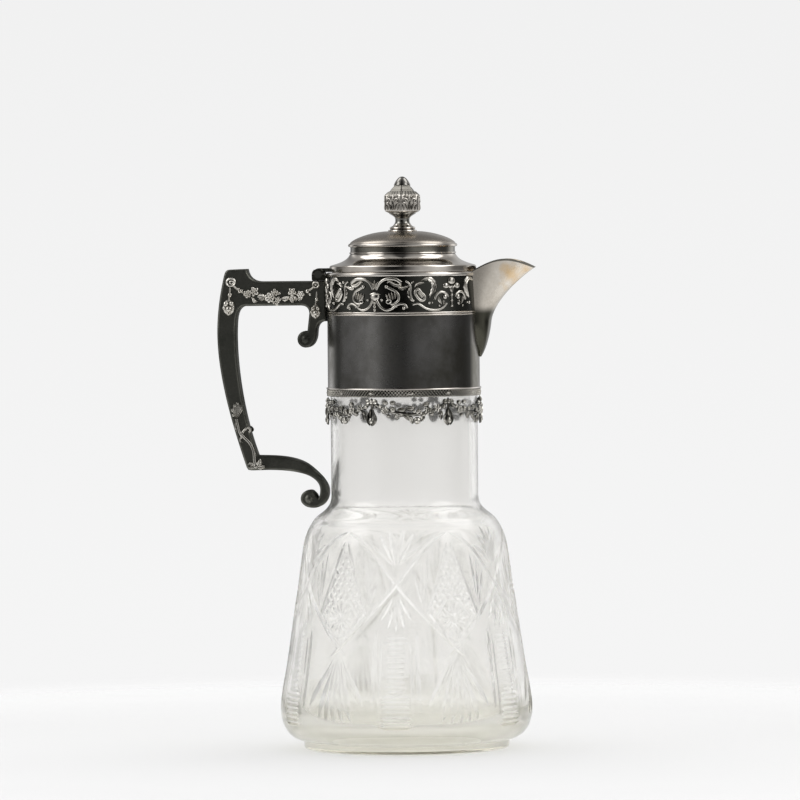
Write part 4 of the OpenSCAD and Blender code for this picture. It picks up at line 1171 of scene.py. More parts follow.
def festoonShape():
    flat = newShape()
    for k in range(festoon["swags"]):
        hangingDrop(flat, k * festoon["swagRun"])
        swag(flat, k * festoon["swagRun"])
    shape = newShape()
    drawnRun = festoon["swags"] * festoon["swagRun"]
    wrapped(flat, festoon["inner"], festoon["firstDrop"], collar["low"] + 0.1, shape, drawnRun)
    return shape


festoonPiece = makePiece("festoonBorder", festoonShape(), finish["festoonSilver"], "jug",
                         ["festoons"], 45)
print("festoons", len(festoonPiece.data.vertices), "points")


# Spout

spoutSize = {"rows": 72, "turns": 96, "sheet": 1.1, "arch": 5.0}


def keelAt(row):
    # the spout's front edge in the middle, out from the axis, beside each row of the seam
    waist = (44.2, 213.5)
    low = [(38.9, 195.4), (41.3, 198.8), (43.4, 206.0), waist]
    high = [waist, (45.4, 221.5), (54.588, 232.0), (66.6, 240.2)]
    return bezierAt(low, row / 9) if row < 9 else bezierAt(high, row / 9 - 1)


def lipPoint(row, turn, inset):
    t = row / 18
    side, keel = jointSide(row), keelAt(row)
    w = side[0] - inset
    root = math.sqrt(collar["r"] ** 2 - w * w)
    out = keel[0] - inset * 1.15 - root
    angle = math.radians(-90 + 180 * turn)
    bend = 0.72 + 0.5 * t * t
    along = abs(math.cos(angle)) ** bend
    aside = math.copysign(abs(math.sin(angle)) ** bend, angle)
    arch = spoutSize["arch"] * t ** 6 * math.sin(math.pi * along)
    height = side[1] + (keel[1] - side[1]) * along + arch
    return root + out * along, w * aside, height


def spoutShape():
    s = spoutSize
    shape = newShape()
    loop = []
    for row in range(s["rows"] + 1):
        at = row * 18 / s["rows"]
        inset = min(s["sheet"], jointSide(at)[0] / 2, (keelAt(at)[0] - collar["r"]) / 2)
        outside = [lipPoint(at, k / s["turns"], 0) for k in range(s["turns"] + 1)]
        inside = [lipPoint(at, k / s["turns"], inset) for k in range(s["turns"], -1, -1)]
        if row == s["rows"]:
            # the rim is eased on both sides
            outside = [(x, y, z - 0.12) for x, y, z in outside]
            inside = [(x, y, z - 0.12) for x, y, z in inside]
        loop = outside + inside
        shape["verts"] += loop
    joinLoops(shape, 0, s["rows"] + 1, len(loop))
    # caps are quads across the sheet, not one large face
    shape["faces"] = shape["faces"][:-2]
    size = len(loop)
    for start in (0, s["rows"] * size):
        for k in range(s["turns"]):
            shape["faces"].append((start + k, start + k + 1, start + size - 2 - k, start + size - 1 - k))
    return shape


spoutPiece = makePiece("beakSpout", spoutShape(), finish["spoutSilver"], "jug", ["spout"],
                       50)
# painted shadow: a dark line under the rim, outside
spoutPiece.data.materials.append(finish["tarnishAndShadowSilver"])
lastRow = (spoutSize["rows"] - 1) * (2 * spoutSize["turns"] + 2)
for face in spoutPiece.data.polygons[lastRow:lastRow + spoutSize["turns"]]:
    face.material_index = 1
print("spout")


# Handle

handle = {"half": 6.0, "edge": 1.2, "collarR": 38.0, "mouthZ": 238.0, "ballR": 4.2, "ballAt": (10.6, 33.2)}


def onHandle(out, down):
    # distance out from the collar and depth below the mouth, as x and z
    return -(handle["collarR"] + out), handle["mouthZ"] - down


def alongHandle(points):
    return [onHandle(*p) for p in points]


def handleOutline():
    # drawn as (out, down): the arm's top and the bracket, down to its ball
    ballX, ballZ = onHandle(*handle["ballAt"])
    first = traced((51.6, 1.7), [
        ((51, -0.8), (50.4, -1.9), (48.6, -1.9), 6), (40, -2.2), ((39.3, 2), (36.8, 4.1), (32.5, 4.1), 10),
        (22, 4.1), (11, 4.1), (0.2, 4.1), (0.2, 14), (0.2, 24.3), (0.9, 24.3),
        ((3.4, 24.3), (4.9, 26), (5, 29.6), 8), ((5.1, 34.4), (7.4, 37.4), (10.6, 37.4), 8)])
    ball = []
    for degrees in range(270, 71, -12):
        a = math.radians(degrees)
        ball.append((ballX + handle["ballR"] * math.cos(a), ballZ + handle["ballR"] * math.sin(a)))
    # the arm's underside, the grip's inside, the lower scroll and back up the grip's outside
    rest = traced((8.7, 20.2), [
        ((8.9, 17.4), (10.4, 16.3), (13.2, 16.3), 7), (22, 16.32), (32, 16.36), (41.2, 16.4),
        ((44.2, 16.8), (45.3, 19.8), (45.6, 25), 8), ((46.6, 42), (43.5, 69), (35.3, 91.2), 28),
        ((28, 91.4), (16, 91), (9, 96.8), 16), ((5.5, 99.7), (-0.1, 104.5), (-0.1, 109.4), 12),
        ((-0.1, 114.2), (3, 117.6), (7.5, 117.6), 10), ((11, 117.6), (13.9, 115.8), (13.9, 113), 8),
        ((13.9, 110.4), (11.8, 108.7), (9.2, 108.7), 8), ((7.4, 108.7), (6.4, 110.4), (6.2, 112.8), 6)])
    rest += traced((5.1, 112.7), [
        ((4.5, 112.1), (4, 110.6), (4, 108.6), 6), ((4, 104.8), (7.5, 101.8), (12.5, 100.4), 10),
        ((17.5, 99), (23.5, 98.5), (30.5, 98.5), 10), (38.4, 98.7), (40.1, 98.4), (40.9, 97.2),
        ((47.5, 77.5), (55.1, 52), (55.1, 30), 28), ((55.1, 19), (53.4, 9.5), (51.6, 1.7), 12)])
    return alongHandle(first) + ball + alongHandle(rest)


def inwards(points, amount):
    # moves each point of a closed outline towards its inside
    moved = []
    ahead = points[1:] + points[:1]
    area = sum(p[0] * b[1] - b[0] * p[1] for p, b in zip(points, ahead))
    way = 1 if area > 0 else -1
    for i, (p, b) in enumerate(zip(points, ahead)):
        a = points[i - 1]
        d1 = Vector((p[0] - a[0], p[1] - a[1])).normalized()
        d2 = Vector((b[0] - p[0], b[1] - p[1])).normalized()
        n = Vector((-(d1.y + d2.y), d1.x + d2.x))
        bend = max(n.length / 2, 0.6)
        n.normalize()
        moved.append((p[0] + way * n.x * amount / bend, p[1] + way * n.y * amount / bend))
    return moved


def handleShape():
    outline = handleOutline()
    shape = newShape()
    half, edge = handle["half"], handle["edge"]
    levels = []
    for k in range(5):
        a = math.radians(90 * k / 4)
        levels.append((-half + edge * (1 - math.sin(a)), edge * (1 - math.cos(a))))
    levels = levels[::-1] + [(-y, inset) for y, inset in levels]
    for y, inset in levels:
        shape["verts"] += [(x, y, z) for x, z in inwards(outline, inset)]
    joinLoops(shape, 0, len(levels), len(outline))
    # the scroll ends swell like balls
    for centre, r in ((onHandle(*handle["ballAt"]), 4.25), (onHandle(9.5, 113.1), 4.5)):
        ball = newShape()
        addBlob(ball, *centre, 0, r, r, half + 0.9, 0, 16, 32)
        addMesh(shape, [(x, h, z) for x, z, h in ball["verts"]], ball["faces"])
    return shape


handlePiece = makePiece("castHandlePiece", handleShape(), finish["castHandle"], "jug",
                        ["handle"], 40)
weighted = handlePiece.modifiers.new("evenSides", "WEIGHTED_NORMAL")
weighted.keep_sharp = True


# places on the arm are (out, down); flowers add radius, petals and turn, beads a radius
garland = {
    "bold": 1.18,
    "flowers": [(39.6, 10.4, 2.0, 6, 15), (36.2, 9.2, 2.35, 5, 40), (28.4, 12.3, 2.5, 7, 0),
                (25.9, 9.8, 1.8, 5, 20), (24.3, 13.3, 1.6, 5, 0), (17.1, 9.6, 2.1, 5, 55),
                (12.9, 10.9, 1.95, 6, 0)],
    "beads": [(46.2, 4.2, 0.7), (42.6, 8.7, 0.75), (44.2, 7.9, 0.75), (43.6, 9.2, 0.75), (36.3, 13.9, 0.85),
              (24.8, 15.4, 0.9), (26.4, 14.6, 0.7), (9.4, 9.2, 0.95), (8.1, 10.8, 0.7)],
    "leaves": [([(37.4, 11.6), (36.4, 13.6), (34.6, 14.2)], 0.8),
               ([(34.6, 11.8), (32.6, 11.4), (30.6, 12.2)], 1.1),
               ([(34.0, 12.8), (32.2, 13.2), (30.6, 12.6)], 0.7),
               ([(22.6, 12.6), (20.4, 12.9), (18.6, 11.4)], 1.15),
               ([(17.9, 11.4), (17.3, 13.4), (16.6, 14.9)], 1.1),
               ([(16.6, 11.2), (15.4, 12.8), (15.0, 14.0)], 0.8),
               ([(11.8, 12.4), (13.4, 13.4), (15.0, 12.8)], 0.7)],
    "stems": [([(46.6, 6.2), (44.8, 7.9), (42.6, 9.3), (40.6, 9.9)], 0.4, 0.35),
              ([(25.4, 10.8), (24.2, 10.4), (23.0, 9.9)], 0.35, 0.5),
              ([(9.6, 9.4), (7.6, 8.2), (6.2, 7.0)], 0.35, 0.35)],
    # the two hanging clusters: place and size
    "clusters": [(49.1, 17.0, 1.0), (5.5, 19.4, 0.86)],
    "fruit": [(-1.35, 1.7, 1.1), (1.5, 1.8, 1.15), (0.1, -0.9, 1.45), (-2.3, -0.3, 0.75), (2.2, -0.5, 0.75),
              (0.0, -3.1, 0.9)],
    "fruitRings": [(1.5, 1.8, 0.6), (0.1, -0.9, 0.8)],
}


def garlandShape():
    g = garland
    flat = newShape(g["bold"])
    for out, down, r, petals, turn in g["flowers"]:
        addFlower(flat, *onHandle(out, down), r, petals, 0.45, turn)
    for out, down, r in g["beads"]:
        addBlob(flat, *onHandle(out, down), 0.3, r, r, r)
    for points, width in g["leaves"]:
        addLeaf(flat, alongHandle(points), width, 0.7, 0.2, 3)
    for points, thick, endThick in g["stems"]:
        addStem(flat, alongHandle(points), thick, endThick)
    # a round loop at each end
    x, z = onHandle(47.9, 4.4)
    addRing(flat, x, z, 0.5, 2.2, 1.9, 0.5, 10, 18)
    addRing(flat, x + 0.4, z - 0.1, 0.6, 1.0, 0.8, 0.35, 0, 12)
    x, z = onHandle(5.2, 6.0)
    addRing(flat, x, z, 0.5, 1.5, 1.4, 0.42, 0, 16)
    addBlob(flat, x, z, 0.5, 0.6, 0.6, 0.6)
    for out, down, size in g["clusters"]:
        thread = [(out - 0.8, down - 10), (out - 0.6, down - 6.6), (out - 0.1, down - 3)]
        addStem(flat, alongHandle(thread), 0.35, 0.45)
        r = 1.05 * size
        addBlob(flat, *onHandle(out - 0.7, down - 6.2), 0.3, r, r, r)
        x, z = onHandle(out, down)
        addBlob(flat, x, z, 0.2, 2.5 * size, 3.3 * size, 0.75)
        for dx, dz, r in g["fruit"]:
            addBlob(flat, x + dx * size, z + dz * size, 0.75, r * size, r * size, r * size)
        for dx, dz, r in g["fruitRings"]:
            addRing(flat, x + dx * size, z + dz * size, 0.75 + 0.9 * size, r * size, r * size, 0.24, 0, 12)
    return flat


# the grip's leaves: points, width, height, base and ribs; stems: points, two widths and base
gripLeaf = {
    "bold": 1.2,
    "lobes": [(47.4, 67.2, 0.8), (46.9, 65.4, 0.8), (45.6, 64.4, 0.85), (44.2, 64.9, 0.8),
              (43.3, 66.6, 0.75)],
    "lobeTips": [(47.6, 68.6), (47.2, 71.0), (46.4, 66.2), (44.9, 65.2), (43.6, 67.6)],
    "curlTips": [(38.9, 78.4), (39.8, 77.3), (41.0, 78.0)],
    "stems": [([(45.7, 72.8), (45.0, 76.2), (44.2, 79.4), (42.7, 82.4)], 0.65, 0.5, 0.3),
              ([(43.4, 80.6), (41.3, 82.7), (39.1, 85.0), (37.6, 88.0), (37.0, 91.0), (36.7, 94.4),
                (35.6, 96.4)],
               0.6, 0.75, 0.4),
              ([(42.8, 79.8), (41.2, 77.9), (39.7, 77.3), (38.8, 78.6), (39.4, 79.5)], 0.5, 0.4, 0.3)],
    "leaves": [([(45.4, 73.6), (46.4, 76.4), (45.2, 79.4)], 0.5, 0.5, 0.1, 0),
               ([(43.1, 81.6), (43.9, 83.2), (43.4, 84.8)], 0.6, 0.6, 0.1, 0),
               ([(35.4, 97.2), (34.4, 95.2), (33.8, 92.6)], 1.3, 0.8, 0.25, 3),
               ([(35.6, 97.3), (33.2, 97.0), (31.4, 96.2)], 0.95, 0.7, 0.25, 3),
               ([(36.4, 97.0), (38.2, 95.4), (40.2, 95.6)], 0.9, 0.7, 0.25, 3),
               ([(36.6, 97.4), (38.4, 97.2), (40.0, 97.3)], 0.6, 0.6, 0.25, 2)],
}


def gripLeafShape():
    g = gripLeaf
    flat = newShape(g["bold"])
    # open bud of lobes at the top
    for out, down, width in g["lobes"]:
        lobe = [(45.6, 73.0), (45.3 + (out - 45.4) * 0.75, 69.4), (out, down)]
        addLeaf(flat, alongHandle(lobe), width, 0.8, 0.3, full=0.66)
    for tips, height, r in ((g["lobeTips"], 0.7, 0.6), (g["curlTips"], 0.5, 0.55)):
        for x, z in alongHandle(tips):
            addBlob(flat, x, z, height, r, r, 0.5)
    for points, thick, endThick, base in g["stems"]:
        addStem(flat, alongHandle(points), thick, endThick, base)
    for points, width, height, base, ribs in g["leaves"]:
        addLeaf(flat, alongHandle(points), width, height, base, ribs)
    addBlob(flat, *onHandle(36.3, 96.6), 0.4, 1.0, 1.0, 0.8)
    return flat


def onSide(flat, side):
    # lays a flat shape on the front (-1) or back (1) face of the handle
    return {"verts": [(x, side * (handle["half"] + h - 0.15), z) for x, z, h in flat["verts"]],
            "faces": flat["faces"]}


for sideName, side in (("front", -1), ("back", 1)):
    flowers, leaves = onSide(garlandShape(), side), onSide(gripLeafShape(), side)
    makePiece("garland_" + sideName + "_flowers", flowers, finish["garlandSilver"], "jug",
              ["garland_" + sideName], 45)
    makePiece("grip_" + sideName + "_leaves", leaves, finish["gripLeafSilver"], "jug",
              ["grip_leaf_" + sideName], 45)
print("handle and its ornaments")


# Lid and finial

lid = {"low": 238.3, "flangeR": 36.7, "flangeH": 2.9, "waistR": 25.7, "top": 258.4, "sheet": 1.2,
       "bezelR": 35.4,
       "stud": 1.5}


def lidShape():
    d = lid
    z0, r0, wr, t = d["low"], d["flangeR"], d["waistR"] + 0.4, d["sheet"]
    rim, rimZ, top = wr + 1.2, z0 + 13, d["top"]
    underZ = z0 + d["flangeH"]
    outside = traced((d["bezelR"], z0), [
        (r0 - 0.35, z0), (r0 - 0.1, z0 + 0.12), (r0, z0 + 0.45), (r0, z0 + 2.1), (r0 - 0.12, z0 + 2.7),
        (r0 - 0.5, z0 + 3.1), (r0 - 1.3, z0 + 3.35),
        ((r0 - 5.4, z0 + 4.5), (wr + 0.7, z0 + 6.0), (wr + 0.1, z0 + 9.6), 22)])
    # small bead, blackened groove and the rolled edge of the dome
    outside[-1] = (wr + 0.05, z0 + 8.6)
    outside += traced((wr + 0.1, z0 + 8.8), [
        (wr + 0.5, z0 + 9.0), (wr + 0.62, z0 + 9.3), (wr + 0.5, z0 + 9.6), (wr + 0.15, z0 + 9.8),
        (wr + 0.05, z0 + 10.2), (wr + 0.05, z0 + 12.1), (wr + 0.2, z0 + 12.35), (rim - 0.35, z0 + 12.45),
        (rim - 0.08, z0 + 12.7), (rim, rimZ),
        ((rim, rimZ + 0.5), (rim - 0.3, rimZ + 0.9), (rim - 0.9, rimZ + 1.1), 5),
        ((rim - 1.8, rimZ + 3.2), (rim - 10.6, top - 0.4), (8, top), 22), (d["stud"], top)])
    inside = traced((d["stud"], top), [
        (d["stud"], top - t), (8, top - t),
        ((rim * 0.5, top - t - 1), (rim - 4.5, rimZ + 1.8), (wr - t, rimZ - 0.8), 14)])
    inside += traced((wr - t, z0 + 10), [
        ((wr - t, z0 + 5.6), (r0 - 6.6, underZ), (d["bezelR"], underZ - t), 14), (d["bezelR"], z0)])
    return spun(outside + inside, 200)


def bezelShape():
    z0, r = lid["low"], lid["bezelR"]
    top = z0 + lid["flangeH"] - lid["sheet"]
    return spun([(r - 0.9, top), (r, top), (r, z0 - 2.9), (r - 0.12, z0 - 3.2), (r - 0.45, z0 - 3.4),
                 (r - 0.8, z0 - 3.3), (r - 0.9, z0 - 3.0)])


lidPiece = makePiece("spunLid", lidShape(), finish["lidSilver"], "lid", ["lid_shell"], 28)
lidPiece.data.materials.append(finish["tarnishAndShadowSilver"])
for face in lidPiece.data.polygons:
    groove = lid["low"] + 9.75 < face.center.z / mm < lid["low"] + 12.5
    if groove and math.hypot(face.center.x, face.center.y) / mm > lid["waistR"] - 0.3:
        face.material_index = 1
brightPiece("lidBezelRing", bezelShape(), "lid_bezel", "lid", 28)


def up(h):
    return lid["top"] + h


def finialBaseShape():
    s = lid["stud"]
    profile = [(s, up(0)), (7.1, up(0)), (7.25, up(0.2)), (7.1, up(0.55)), (6.2, up(0.85)), (6.05, up(1.05)),
               (6.3, up(1.25)),
               (6.45, up(1.6)), (6.3, up(1.95))]
    profile += curvePoints([(6.3, up(1.95)), (5.6, up(2.4)), (4.6, up(2.7)), (4.3, up(3.4))], 6)
    return spun(profile + [(4.3, up(3.4)), (s, up(3.4))], 96)


def finialStemShape():
    s = lid["stud"]
    profile = curvePoints([(4.3, up(3.4)), (3.5, up(4.3)), (3.35, up(5.7)), (3.9, up(6.9))], 10)
    profile += curvePoints([(3.9, up(6.9)), (4.5, up(7.6)), (5.6, up(8.1)), (6.5, up(8.7))], 6)
    return spun(profile + [(6.5, up(8.7)), (6.75, up(8.95)), (6.7, up(9.2)), (s, up(9.2)), (s, up(3.4))], 96)


knob = {"r": 9.65, "low": 9.2, "flatLow": 10.3, "flatHigh": 18.1, "high": 22.8, "sides": 6, "perSide": 20,
        "flute": 0.3, "reliefStretch": 1.09}


def knobFace():
    # scrolls above and upright leaves below, drawn flat
    face = newShape()
    for side in (-1, 1):
        scroll = [(0.5, 4.0), (1.9, 5.3), (3.3, 4.9), (3.5, 3.7), (2.5, 3.3)]
        addStem(face, [(x * side, y) for x, y in scroll], 0.42, 0.36, 0.15)
        addBlob(face, 2.5 * side, 4.1, 0.2, 0.5, 0.5, 0.5)
        addLeaf(face, [(1.1 * side, 0.2), (1.5 * side, 1.7), (2.5 * side, 3.0)], 0.52, 0.6, 0.05)
        addLeaf(face, [(3.0 * side, 0.1), (3.2 * side, 1.4), (4.0 * side, 2.7)], 0.5, 0.55, 0.05)
        addStem(face, [(4.5 * side, 0.2), (4.55 * side, 3.4), (4.5 * side, 6.6)], 0.28, 0.28, 0.1)
        addLeaf(face, [(0.4 * side, 5.6), (2.0 * side, 6.5), (3.6 * side, 6.3)], 0.4, 0.5, 0.05)
    addLeaf(face, [(0, 0.1), (0, 1.9), (0, 3.8)], 0.62, 0.7, 0.05)
    addBlob(face, 0, 4.6, 0.2, 0.55, 0.55, 0.55)
    return face


def knobShape():
    # hexagonal block, round at its two ends, with relief on every face
    k = knob
    shape = newShape()
    r0 = k["r"]
    levels = [(lid["stud"], k["low"]), (r0 * 0.76, k["low"]), (r0 * 0.81, k["low"] + 0.05),
              (r0 * 0.91, k["low"] + 0.45), (r0 * 0.985, k["flatLow"] - 0.25), (r0, k["flatLow"] + 0.1),
              (r0, k["flatHigh"] - 0.1), (r0 * 0.985, k["flatHigh"] + 0.2), (r0 * 0.8, 19.7),
              (r0 * 0.76, 19.85),
              (r0 * 0.7, 19.95), (r0 * 0.66, 20.25), (r0 * 0.64, 20.7), (r0 * 0.56, 21.5), (4.55, 22.3),
              (4.35, 22.8), (lid["stud"], k["high"])]
    around = k["sides"] * k["perSide"]
    flat = math.cos(math.radians(30))
    for r, h in levels:
        roundness = 0.0 if k["low"] + 0.4 < h < 19.9 else (0.6 if h < 20 else 1.0)
        for i in range(around):
            a = math.tau * i / around - math.pi / 2
            within = (i % k["perSide"]) / k["perSide"] * math.radians(60) - math.radians(30)
            hexR = r * flat / math.cos(within)
            rr = hexR + (min(r, hexR * 1.02) - hexR) * roundness
            if k["flatHigh"] + 0.1 < h < 19.8 and i % 4 < 2:
                rr -= k["flute"]  # flutes on the sloping shoulder
            shape["verts"].append((rr * math.cos(a), rr * math.sin(a), up(h)))
    joinLoops(shape, 0, len(levels), around, closed=True)
    face = knobFace()
    for i in range(k["sides"]):
        turn = math.radians(60 * i)
        c, s = math.cos(turn), math.sin(turn)
        verts = []
        for x, y, h in face["verts"]:
            reach = r0 * flat + h - 0.05
            z = up(k["flatLow"] + 0.15 + k["reliefStretch"] * y)
            verts.append((reach * c - x * s, reach * s + x * c, z))
        addMesh(shape, verts, face["faces"])
    return shape


def finialCapShape():
    s = lid["stud"]
    profile = [(4.1, up(22.8))] + curvePoints([(4.15, up(23.0)), (3.75, up(24.3)), (2.3, up(26.9)),
                                               (0.5, up(27.3))], 14)
    return spun(profile + [(0.5, up(27.3)), (0, up(27.3)), (0, up(23.6)), (s, up(23.6)), (s, up(22.8))], 96)


brightPiece("finialBaseDiscs", finialBaseShape(), "finial_base", "lid")
makePiece("finialStemPiece", finialStemShape(), finish["stemSilver"], "lid",
          ["finial_stem"])
makePiece("finialKnobBlock", knobShape(), finish["knobSilver"], "lid", ["finial_knob"], 25)
makePiece("finialCapPiece", finialCapShape(), finish["capDirtAndShadeSilver"], "lid", ["finial_cap"],
          40)
print("lid and finial")


# Hinge: the leaf that stays on the jug

hinge = {"pinX": -42.0, "pinZ": 237.2, "low": 234.0, "inner": 2.9, "half": 6.0, "edge": 0.15, "shrink": 0.12}


def hingeLeafShape():
    h = hinge
    shape = newShape()
    x, z = h["pinX"], h["pinZ"]
    # flat-topped knuckles, with a thin raised edge on their outer faces
    knuckle = [(-38.25, h["low"]), (x - 2.9, h["low"]), (x - 3.2, z - 2.6), (x - 3.3, z - 0.3),
               (x - 3.0, z + 1.2),
               (x - 2.3, z + 2.2), (x - 1.5, z + 2.45), (x + 1.5, z + 2.45), (x + 2.4, z + 1.9),
               (x + 2.9, z + 0.8),
               (-38.25, 236.1)]
    ledge = [(-38.9, z - 0.1), (x - 3.2, z - 0.1), (x - 3.2, z + 0.45), (-38.9, z + 0.45)]
    blocks = [(knuckle, h["inner"], h["half"]), (ledge, h["half"] - 0.2, h["half"] + 0.2)]
    for side in (-1, 1):
        for outline, inside, outside in blocks:
            start = len(shape["verts"])
            middleX = sum(p[0] for p in outline) / len(outline)
            middleZ = sum(p[1] for p in outline) / len(outline)
            for y, shrink in ((inside, 0.0), (outside - h["edge"], 0.0), (outside, h["shrink"])):
                for px, pz in outline:
                    dx, dz = px - middleX, pz - middleZ
                    share = 1 - shrink / math.hypot(dx, dz)
                    shape["verts"].append((middleX + dx * share, side * y, middleZ + dz * share))
            joinLoops(shape, start, 3, len(outline))
    return shape


makePiece("hingeFixedLeaf", hingeLeafShape(), finish["hingeSilver"], "jug",
          ["hinge_fixed_leaf"], 30)

# CAD parts that keep their own shape get their finish here
keptNodes = {"neck_cement": "plasterBed", "hinge_pin": "castHandle",
             "hinge_lid_leaf": "castHandle", "finial_stud": "turnedBrass", "finial_washer": "turnedBrass",
             "finial_nut": "turnedBrass"}
for nodeName, finishName in keptNodes.items():
    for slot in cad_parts[nodeName].material_slots:
        slot.material = finish[finishName]


# Table, light and camera

table = {"tone": (0.775, 0.775, 0.775), "r": 620, "rings": 24, "around": 96, "fadeFrom": 0.24,
         "fadeTo": 0.55,
         "rough": 0.9, "shine": 0.1}


def buildTable():
    t = table
    verts = [(0, 0, -0.1)]
    for i in range(1, t["rings"] + 1):
        r = t["r"] * i / t["rings"]
        for k in range(t["around"]):
            a = math.tau * k / t["around"]
            verts.append((r * math.cos(a), r * math.sin(a), -0.1))
    faces = [(0, 1 + k, 1 + (k + 1) % t["around"]) for k in range(t["around"])]
    for i in range(t["rings"] - 1):
        a, b = 1 + i * t["around"], 1 + (i + 1) * t["around"]
        for k in range(t["around"]):
            n = (k + 1) % t["around"]
            faces.append((a + k, b + k, b + n, a + n))
    mesh = bpy.data.meshes.new("paleTable")
    mesh.from_pydata([(x * mm, y * mm, z * mm) for x, y, z in verts], [], faces)
    disc = bpy.data.objects.new("paleTable", mesh)
    scene.collection.objects.link(disc)
    # it fades into the backdrop far from the jug
    mat, net, shader, where = newFinish("paleTableTop")
    net.feed(shader.inputs["Base Color"], t["tone"])
    shader.inputs["Roughness"].default_value = t["rough"]
    shader.inputs["Specular IOR Level"].default_value = t["shine"]
    away = net.add("VectorMath", {0: where}, operation="LENGTH").outputs["Value"]
    net.clearWhere(net.span(away, t["fadeFrom"], t["fadeTo"], "SMOOTHSTEP"), shader)
    mesh.materials.append(mat)


# levels round the compass: 0.5 is where the camera stands, 0 and 1 are behind the jug
room = {
    # what the metal sees at its own height, and overhead
    "around": [(0.0, 0.5), (0.06, 0.2), (0.085, 0.3), (0.113, 0.9), (0.135, 0.5), (0.158, 0.11),
               (0.182, 0.11),
               (0.205, 0.25), (0.239, 0.46), (0.289, 0.6), (0.333, 0.72), (0.375, 0.56), (0.411, 0.16),
               (0.44, 0.02), (0.481, 0.01), (0.519, 0.03), (0.556, 0.24), (0.592, 0.48), (0.628, 0.55),
               (0.667, 0.72), (0.708, 0.58), (0.755, 0.17), (0.808, 0.13), (0.84, 0.2), (0.872, 0.85),
               (0.905, 1.1), (0.935, 0.6), (1.0, 0.5)],
    "overhead": [(0.0, 0.24), (0.05, 0.3), (0.12, 0.44), (0.3, 0.58), (0.41, 0.3), (0.46, 0.06),
                 (0.53, 0.05),
                 (0.58, 0.26), (0.7, 0.58), (0.88, 0.44), (0.95, 0.3), (1.0, 0.24)],
    "overheadRise": [(0.3, 0.0), (0.55, 1.0)],
    "tableDrop": [(0.12, 0.0), (0.4, 1.0)], "tableLevel": (0.62, 0.62, 0.62),
    # directions of the soft boxes seen in the lid, and lower down in the glass shoulder
    "boxes": [(-0.55, 0.22, 0.8), (0.55, 0.2, 0.8), (-0.76, -0.33, 0.56), (0.8, -0.3, 0.53)],
    "boxEdge": [(0.94, 0.0), (0.975, 1.0)], "boxLevel": (2.6, 2.6, 2.6),
    # what shines through the glass is the pale backdrop, brighter overhead and darker in front
    "through": [(0.0, 0.12), (0.35, 0.25), (0.6, 0.76), (0.75, 0.86), (1.0, 0.895)],
    "throughRise": [(0.3, 0.0), (0.6, 1.0)], "throughTop": (1.05, 1.05, 1.05),
    "backdropLift": 0.09, "backdrop": [(0.0, 0.915), (0.03, 0.91), (0.127, 0.88)],
    "softLevel": (0.72, 0.72, 0.72),
}


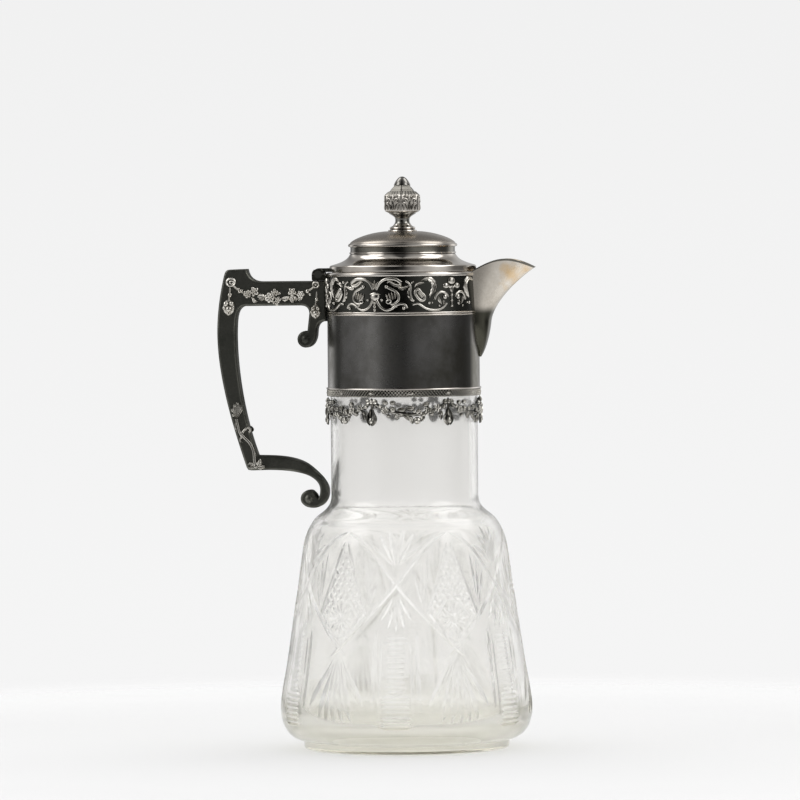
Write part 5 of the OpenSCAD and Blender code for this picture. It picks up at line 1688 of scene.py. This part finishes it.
def buildRoom(r):
    world = bpy.data.worlds.new("paleRoom")
    scene.world = world
    world.use_nodes = True
    world.node_tree.nodes.clear()
    net = NodeNet(world.node_tree)
    outward = net.add("TexCoord", {}).outputs["Generated"]
    x, y, z = net.add("SeparateXYZ", {0: outward}).outputs
    compass = net.calc("ARCTAN2", x, net.calc("MULTIPLY", y, -1.0))
    around = net.calc("ADD", net.calc("DIVIDE", compass, math.tau), 0.5)
    high = net.ramp(z, r["overheadRise"])
    level = net.mix(high, net.ramp(around, r["around"]), net.ramp(around, r["overhead"]))
    level = net.mix(net.ramp(net.calc("MULTIPLY", z, -1.0), r["tableDrop"]), level, r["tableLevel"])
    for box in r["boxes"]:
        near = net.add("VectorMath", {0: outward, 1: Vector(box).normalized()}, operation="DOT_PRODUCT")
        level = net.mix(net.ramp(near.outputs["Value"], r["boxEdge"]), level, r["boxLevel"])
    through = net.mix(net.ramp(z, r["throughRise"]), net.ramp(y, r["through"]), r["throughTop"])
    backdrop = net.ramp(net.calc("ADD", z, r["backdropLift"]), r["backdrop"])
    path = net.add("LightPath", {}).outputs
    level = net.mix(path["Is Diffuse Ray"], level, r["softLevel"])
    level = net.mix(path["Is Transmission Ray"], level, through)
    level = net.mix(path["Is Camera Ray"], level, backdrop)
    background = net.add("Background", {"Color": level})
    net.add("OutputWorld", {"Surface": background.outputs[0]})


softBoxes = [
    {"name": "boxRight", "turn": 50, "rise": 0.6, "away": 1.5, "wide": 1.0, "tall": 1.2, "power": 6},
    {"name": "boxLeft", "turn": -70, "rise": 0.6, "away": 1.5, "wide": 1.0, "tall": 1.2, "power": 5},
    {"name": "boxTop", "turn": 180, "rise": 1.5, "away": 0.3, "wide": 1.2, "tall": 1.0, "power": 8},
]


def buildLights():
    target = Vector((0, 0, 0.15))
    for box in softBoxes:
        light = bpy.data.lights.new(box["name"], "AREA")
        light.shape = "RECTANGLE"
        light.size = box["wide"]
        light.size_y = box["tall"]
        light.energy = box["power"]
        lamp = bpy.data.objects.new(box["name"], light)
        a = math.radians(box["turn"])
        lamp.location = (box["away"] * math.sin(a), -box["away"] * math.cos(a), box["rise"])
        lamp.rotation_euler = (target - lamp.location).to_track_quat("-Z", "Y").to_euler()
        lamp.visible_transmission = False
        lamp.visible_glossy = False
        scene.collection.objects.link(lamp)


view = {"turn": 5.0, "away": 3.1, "eye": 0.259, "lens": 279.0, "aimAcross": -0.002, "aimZ": 0.174,
        "roll": -0.5}


def buildCamera():
    cam = bpy.data.cameras.new("studioCamera")
    cam.lens = view["lens"]
    cam.sensor_width = 36
    cam.clip_end = 50
    camera = bpy.data.objects.new("studioCamera", cam)
    a = math.radians(view["turn"])
    place = Vector((view["away"] * math.sin(a), -view["away"] * math.cos(a), view["eye"]))
    aim = Vector((view["aimAcross"] * math.cos(a), view["aimAcross"] * math.sin(a), view["aimZ"]))
    facing = (aim - place).to_track_quat("-Z", "Y").to_matrix().to_4x4()
    camera.matrix_world = Matrix.Translation(place) @ facing @ Matrix.Rotation(math.radians(view["roll"]), 4,
                                                                               "Z")
    scene.collection.objects.link(camera)
    scene.camera = camera


buildTable()
buildRoom(room)
buildLights()
buildCamera()
scene.view_settings.view_transform = "Standard"
print("room, light and camera")
